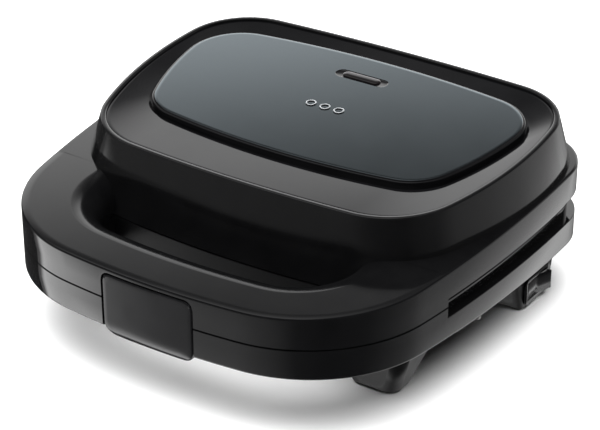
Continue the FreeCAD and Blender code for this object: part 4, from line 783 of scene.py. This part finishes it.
def inlay():
    """The plate has a rolled edge, a flat face and a dished dark surround for the lens."""
    bm = bmesh.new()
    border = 1.1
    radius = 0.7
    flat_from = border + 2.2
    rings = [mirror_rows(on_rim("island", border, -0.8))]
    for turn in steps(0, math.pi / 2, 5):
        inset = border + radius * (1 - math.cos(turn))
        above = INLAY_FACE - radius * (1 - math.sin(turn))
        rings.append(mirror_rows(on_rim("island", inset, above)))
    rings.append(mirror_rows(on_rim("island", flat_from, INLAY_FACE)))
    low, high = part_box("indicator_lens")
    middle = np.array([0.0, (low.y + high.y) / 2 / MM / math.cos(RIM_SLOPE)])
    toward = mirror_rows(half_points("island", full_ts(), flat_from)) - middle
    half, outer_radius = 12.4, 4.4
    for inset, above in ((0.0, INLAY_FACE), (0.15, 0.85), (0.5, 0.72), (1.0, 0.66)):
        reach = pill_reach(toward, half, outer_radius - inset)
        ring = middle + toward * reach[:, None]
        rings.append(tilted(ring, RIM_LEVEL, RIM_SLOPE, above))
    dark = 1
    built = add_rings(bm, rings, [0] + [dark] * 4 + [0] * 3 + [dark] * 3)
    cap(bm, built[-1], dark)
    cap(bm, built[0][::-1])
    finish_mesh(bm, "inlay_plate_look", [INLAY, DISH], "lid", ["inlay_plate"])


def pill_ring(half, radius):
    """A pill's outline, anticlockwise."""
    ring = []
    for centre, start in ((half, -math.pi / 2), (-half, math.pi / 2)):
        for turn in steps(0, math.pi, 16):
            ring.append((centre + radius * math.cos(start + turn), radius * math.sin(start + turn)))
    return np.array(ring)


# The lens's profile from under the plate to its crown: (inset, height over the plate).
LENS_PROFILE = (
    (0.0, -5.0), (0.0, 0.05), (0.08, 0.22), (0.25, 0.36), (0.55, 0.42), (1.5, 0.47), (2.4, 0.5),
)


def lens():
    """A smoked window with a rolled edge and a slightly crowned face."""
    bm = bmesh.new()
    low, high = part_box("indicator_lens")
    middle_y = (low.y + high.y) / 2 / MM
    half, radius = 9.0, 2.9
    rise = math.tan(RIM_SLOPE)
    rows = []
    for inset, above in LENS_PROFILE:
        points = pill_ring(half, radius - inset) + np.array([0.0, middle_y])
        rows.append(lifted(points, RIM_LEVEL + INLAY_FACE + above + rise * points[:, 1]))
    built = add_rings(bm, rows)
    cap(bm, built[-1])
    cap(bm, built[0][::-1])
    finish_mesh(bm, "indicator_lens_look", [LENS], "lid", ["indicator_lens"])


dish()
inlay()
lens()

# ------------------------------------------------------------------ latch


LATCH_HALF = 27.9
LATCH_LOW = 29.5
LATCH_HIGH = 67.0
LATCH_TOP_CORNER = 4.5
LATCH_BOTTOM_CORNER = 9.0
LATCH_THICKNESS = 3.2
LATCH_EDGE = 1.0
LATCH_BEND = 9.0
# The insets at which the front face and the back face have a ring of points.
FACE_RINGS = (3, 6, 9, 12, 15)
# The hook's section in y and z, from under the latch forward over the catch and back.
HOOK = (
    (-122.0, 31.0), (-118.5, 30.4), (-116.4, 31.2), (-115.7, 32.6), (-115.6, 34.4),
    (-116.2, 34.9), (-117.6, 35.0), (-124.0, 35.0),
)
HOOK_HALF = 23.0
# The two bosses round the pin, with the spring between them.
PIN_Y = -124.3
PIN_Z = 64.6
BOSS_RADIUS = 2.4
BOSSES = ((-27.0, 7.0), (13.8, 27.0))


def latch_outline():
    """The latch's front outline: round corners, larger at the bottom."""
    top, bottom = LATCH_TOP_CORNER, LATCH_BOTTOM_CORNER
    corners = (
        (LATCH_HALF - bottom, LATCH_LOW + bottom, bottom, -math.pi / 2),
        (LATCH_HALF - top, LATCH_HIGH - top, top, 0),
        (-LATCH_HALF + top, LATCH_HIGH - top, top, math.pi / 2),
        (-LATCH_HALF + bottom, LATCH_LOW + bottom, bottom, math.pi),
    )
    ring = []
    for x, z, radius, start in corners:
        for turn in steps(0, math.pi / 2, 8):
            angle = start + turn
            ring.append((x + radius * math.cos(angle), z + radius * math.sin(angle)))
    spacing = 4.0
    dense = []
    for point, after in zip(ring, ring[1:] + ring[:1]):
        gap = math.hypot(after[0] - point[0], after[1] - point[1])
        pieces = max(1, int(round(gap / spacing)))
        for share in np.arange(pieces) / pieces:
            dense.append(np.array(point) * (1 - share) + np.array(after) * share)
    return np.array(dense)


def band_front(x):
    """The band's front surface at a distance from the middle."""
    crown = OVALS["band"][4]
    return OVALS["band"][1] + crown - np.sqrt(crown * crown - x * x)


def tuck(z):
    """How far the latch's lower edge curves back under the handle."""
    depth = np.clip((LATCH_LOW + LATCH_BEND - z) / LATCH_BEND, 0, 1)
    return LATCH_BEND * 0.55 * (1 - np.sqrt(np.clip(1 - depth * depth, 0, 1)))


def latch_ring(outline, inset, depth):
    """The outline drawn towards its middle and set on the band's curved front."""
    middle_z = (LATCH_LOW + LATCH_HIGH) / 2
    half_height = (LATCH_HIGH - LATCH_LOW) / 2
    x = outline[:, 0] * (LATCH_HALF - inset) / LATCH_HALF
    z = middle_z + (outline[:, 1] - middle_z) * (half_height - inset) / half_height
    return np.column_stack([x, band_front(x) + depth + tuck(z), z])


def hook(bm):
    """The hook: a bar along X."""
    ends = [
        [bm.verts.new(Vector((x, y, z)) * MM) for y, z in HOOK] for x in (-HOOK_HALF, HOOK_HALF)
    ]
    for i in range(len(HOOK)):
        j = (i + 1) % len(HOOK)
        bm.faces.new([ends[0][i], ends[0][j], ends[1][j], ends[1][i]]).smooth = True
    bm.faces.new(ends[0])
    bm.faces.new(ends[1][::-1])


def pin_boss(bm, start, end):
    """A boss round the pin, with eased ends."""
    ease = 0.3
    rings = []
    for x, radius in (
        (start, BOSS_RADIUS - ease), (start + ease, BOSS_RADIUS),
        (end - ease, BOSS_RADIUS), (end, BOSS_RADIUS - ease),
    ):
        rings.append([
            (x, PIN_Y + radius * math.cos(angle), PIN_Z + radius * math.sin(angle))
            for angle in steps(0, 2 * math.pi, 32)[:-1]
        ])
    built = add_rings(bm, np.array(rings))
    cap(bm, built[0])
    cap(bm, built[-1][::-1])


def latch():
    """The latch: a curved plate with rolled edges, its hook and the bosses on its pin."""
    bm = bmesh.new()
    outline = latch_outline()
    rows = [latch_ring(outline, 0.0, LATCH_THICKNESS)]
    for turn in steps(0, math.pi / 2, 4):
        inset = LATCH_EDGE * (1 - math.cos(turn))
        rows.append(latch_ring(outline, inset, LATCH_EDGE * (1 - math.sin(turn))))
    rows += [latch_ring(outline, inset, 0.0) for inset in FACE_RINGS]
    built = add_rings(bm, rows)
    cap(bm, built[-1])
    back = [latch_ring(outline, 0.0, LATCH_THICKNESS)]
    back.append(latch_ring(outline, 1.0, LATCH_THICKNESS + 0.05))
    back += [latch_ring(outline, inset, LATCH_THICKNESS) for inset in FACE_RINGS[1::2]]
    back.append(latch_ring(outline, FACE_RINGS[-1], LATCH_THICKNESS))
    built = add_rings(bm, back, 0, True)
    cap(bm, built[-1][::-1])
    hook(bm)
    for start, end in BOSSES:
        pin_boss(bm, start, end)
    finish_mesh(bm, "latch_look", [LATCH], "latch", ["latch"])


latch()

# ------------------------------------------------------------------ studio


# What the shiny sides see round the studio: (degrees anticlockwise from +X, brightness).
# Below eye level there is a strip light at the left front, a black card behind the camera
# and a white wall on the right. The level row is what the upright, satin sides see.
LOW_TENT = (
    (-176, 0.4), (-170, 3.1), (-144, 3.6), (-134, 1.8), (-126, 0.85), (-110, 0.6), (-82, 0.32),
    (-66, 0.08), (-45, 0.03), (-12, 0.06), (28, 0.32), (46, 0.55), (58, 1.1), (68, 2.0),
    (80, 1.0), (100, 0.25), (145, 0.05), (178, 0.05),
)
LEVEL_TENT = (
    (-160, 0.18), (-134, 0.28), (-110, 0.20), (-82, 0.08), (-45, 0.02), (-5, 0.14), (28, 0.4),
    (50, 0.65), (64, 0.5), (84, 0.5), (150, 0.1), (165, 0.06),
)
TENT_PEAK = 4.0
# How bright the band is at each height: (sine of the elevation, brightness).
BACK_HEIGHTS = (
    (0.0, 0.0), (0.04, 2.6), (0.30, 2.0), (0.46, 1.7), (0.490, 1.5), (0.502, 1.25), (0.513, 0.92),
    (0.524, 0.62), (0.535, 0.40), (0.547, 0.24), (0.560, 0.13), (0.60, 0.04), (0.70, 0.0),
)
# The bright band at the back left runs between these directions, with soft ends.
BACK_FROM, BACK_TO, BACK_BLUR = 84, 152, 8
OVERHEAD = 0.75
OVERHEAD_FROM, OVERHEAD_TO = 105, 135
# The heights between which one part of the tent passes into the next.
LOW_TO_LEVEL = (-0.42, -0.16)
LEVEL_TO_DARK = (0.2, 0.6)
OVERHEAD_HEIGHTS = (0.60, 0.76)
DARK = 0.05


class Nodes:
    """Arithmetic on a node tree's values."""

    def __init__(self, tree):
        self.tree = tree

    def maths(self, kind, first, second):
        node = self.tree.nodes.new("ShaderNodeMath")
        node.operation = kind
        for socket, value in zip(node.inputs, (first, second)):
            if isinstance(value, (int, float)):
                socket.default_value = value
            else:
                self.tree.links.new(value, socket)
        return node.outputs[0]

    def ramp(self, value, stops, scale):
        """A brightness that follows stops of (position, brightness)."""
        node = self.tree.nodes.new("ShaderNodeValToRGB")
        elements = node.color_ramp.elements
        while len(elements) > 1:
            elements.remove(elements[0])
        for index, (position, level) in enumerate(stops):
            place = scale(position)
            element = elements[0] if index == 0 else elements.new(place)
            element.position = place
            element.color = rgb(*[level / TENT_PEAK] * 3)
        self.tree.links.new(value, node.inputs["Fac"])
        return self.maths("MULTIPLY", node.outputs["Color"], TENT_PEAK)

    def smooth(self, value, low, high):
        node = self.tree.nodes.new("ShaderNodeMapRange")
        node.interpolation_type = "SMOOTHSTEP"
        node.inputs["From Min"].default_value = low
        node.inputs["From Max"].default_value = high
        self.tree.links.new(value, node.inputs["Value"])
        return node.outputs["Result"]

    def mixed(self, share, first, second):
        rest = self.maths("MULTIPLY", self.maths("SUBTRACT", 1.0, share), first)
        return self.maths("ADD", rest, self.maths("MULTIPLY", share, second))

    def times(self, first, second):
        return self.maths("MULTIPLY", first, second)


def around(degrees):
    """A direction in degrees as a share of a full turn that starts at -X."""
    return degrees / 360 + 0.5


def tent():
    """The world round the studio, dark above with a bright band low at the back left."""
    world = bpy.data.worlds.new("studio")
    bpy.context.scene.world = world
    world.use_nodes = True
    world.cycles_visibility.diffuse = False
    tree = world.node_tree
    nodes = Nodes(tree)
    split = tree.nodes.new("ShaderNodeSeparateXYZ")
    tree.links.new(tree.nodes.new("ShaderNodeTexCoord").outputs["Generated"], split.inputs["Vector"])
    x, y, height = split.outputs
    radians = nodes.maths("ARCTAN2", y, x)
    turn = nodes.maths("ADD", nodes.maths("DIVIDE", radians, 2 * math.pi), 0.5)

    low = nodes.ramp(turn, LOW_TENT, around)
    level = nodes.ramp(turn, LEVEL_TENT, around)
    sides = nodes.mixed(nodes.smooth(height, *LOW_TO_LEVEL), low, level)
    above = nodes.mixed(nodes.smooth(height, *LEVEL_TO_DARK), sides, DARK)
    starts = nodes.smooth(turn, around(BACK_FROM - BACK_BLUR), around(BACK_FROM + BACK_BLUR))
    ends = nodes.smooth(turn, around(BACK_TO + BACK_BLUR), around(BACK_TO - BACK_BLUR))
    band = nodes.times(nodes.times(starts, ends), nodes.ramp(height, BACK_HEIGHTS, float))
    aside = nodes.smooth(turn, around(OVERHEAD_FROM), around(OVERHEAD_TO))
    glow = nodes.times(nodes.times(aside, nodes.smooth(height, *OVERHEAD_HEIGHTS)), OVERHEAD)
    total = nodes.maths("ADD", nodes.maths("ADD", above, band), glow)
    background = tree.nodes["Background"]
    background.inputs["Color"].default_value = rgb(1.0, 1.0, 1.0)
    tree.links.new(total, background.inputs["Strength"])


def pale_floor():
    """A pale floor that only the overhead light reaches."""
    bm = bmesh.new()
    bmesh.ops.create_grid(bm, x_segments=8, y_segments=8, size=6.0)
    mesh = bpy.data.meshes.new("floor")
    bm.to_mesh(mesh)
    bm.free()
    floor = bpy.data.objects.new("floor", mesh)
    bpy.context.scene.collection.objects.link(floor)
    paint = Paint("floor_white", Roughness=0.9, Specular_IOR_Level=0.1)
    grey, white = rgb(0.90, 0.90, 0.90), rgb(0.92, 0.92, 0.92)
    paint.feed("Base Color", paint.blend(paint.noise(1.5), grey, white))
    mesh.materials.append(paint.material)
    floor.visible_glossy = False


def overhead():
    """One large soft light. The glossy sides mirror the tent and not this."""
    data = bpy.data.lights.new("key_top", "AREA")
    data.shape = "RECTANGLE"
    data.size = 4.2
    data.size_y = 4.2
    data.energy = 300
    light = bpy.data.objects.new("key_top", data)
    light.location = Vector((-0.2, -0.3, 2.4))
    light.rotation_euler = (-light.location).to_track_quat("-Z", "Y").to_euler()
    light.visible_glossy = False
    bpy.context.scene.collection.objects.link(light)


def camera():
    """The camera stands at the photograph's angle."""
    data = bpy.data.cameras.new("camera")
    data.lens = 130.59
    data.sensor_width = 36.0
    eye = bpy.data.objects.new("camera", data)
    eye.location = Vector((575.87, -863.56, 625.36)) * MM
    look = Vector((1.28, 11.95, 45.0)) * MM - eye.location
    eye.rotation_euler = look.to_track_quat("-Z", "Y").to_euler()
    bpy.context.scene.collection.objects.link(eye)
    bpy.context.scene.camera = eye
    bpy.context.scene.view_settings.view_transform = "Standard"


pale_floor()
tent()
overhead()
camera()
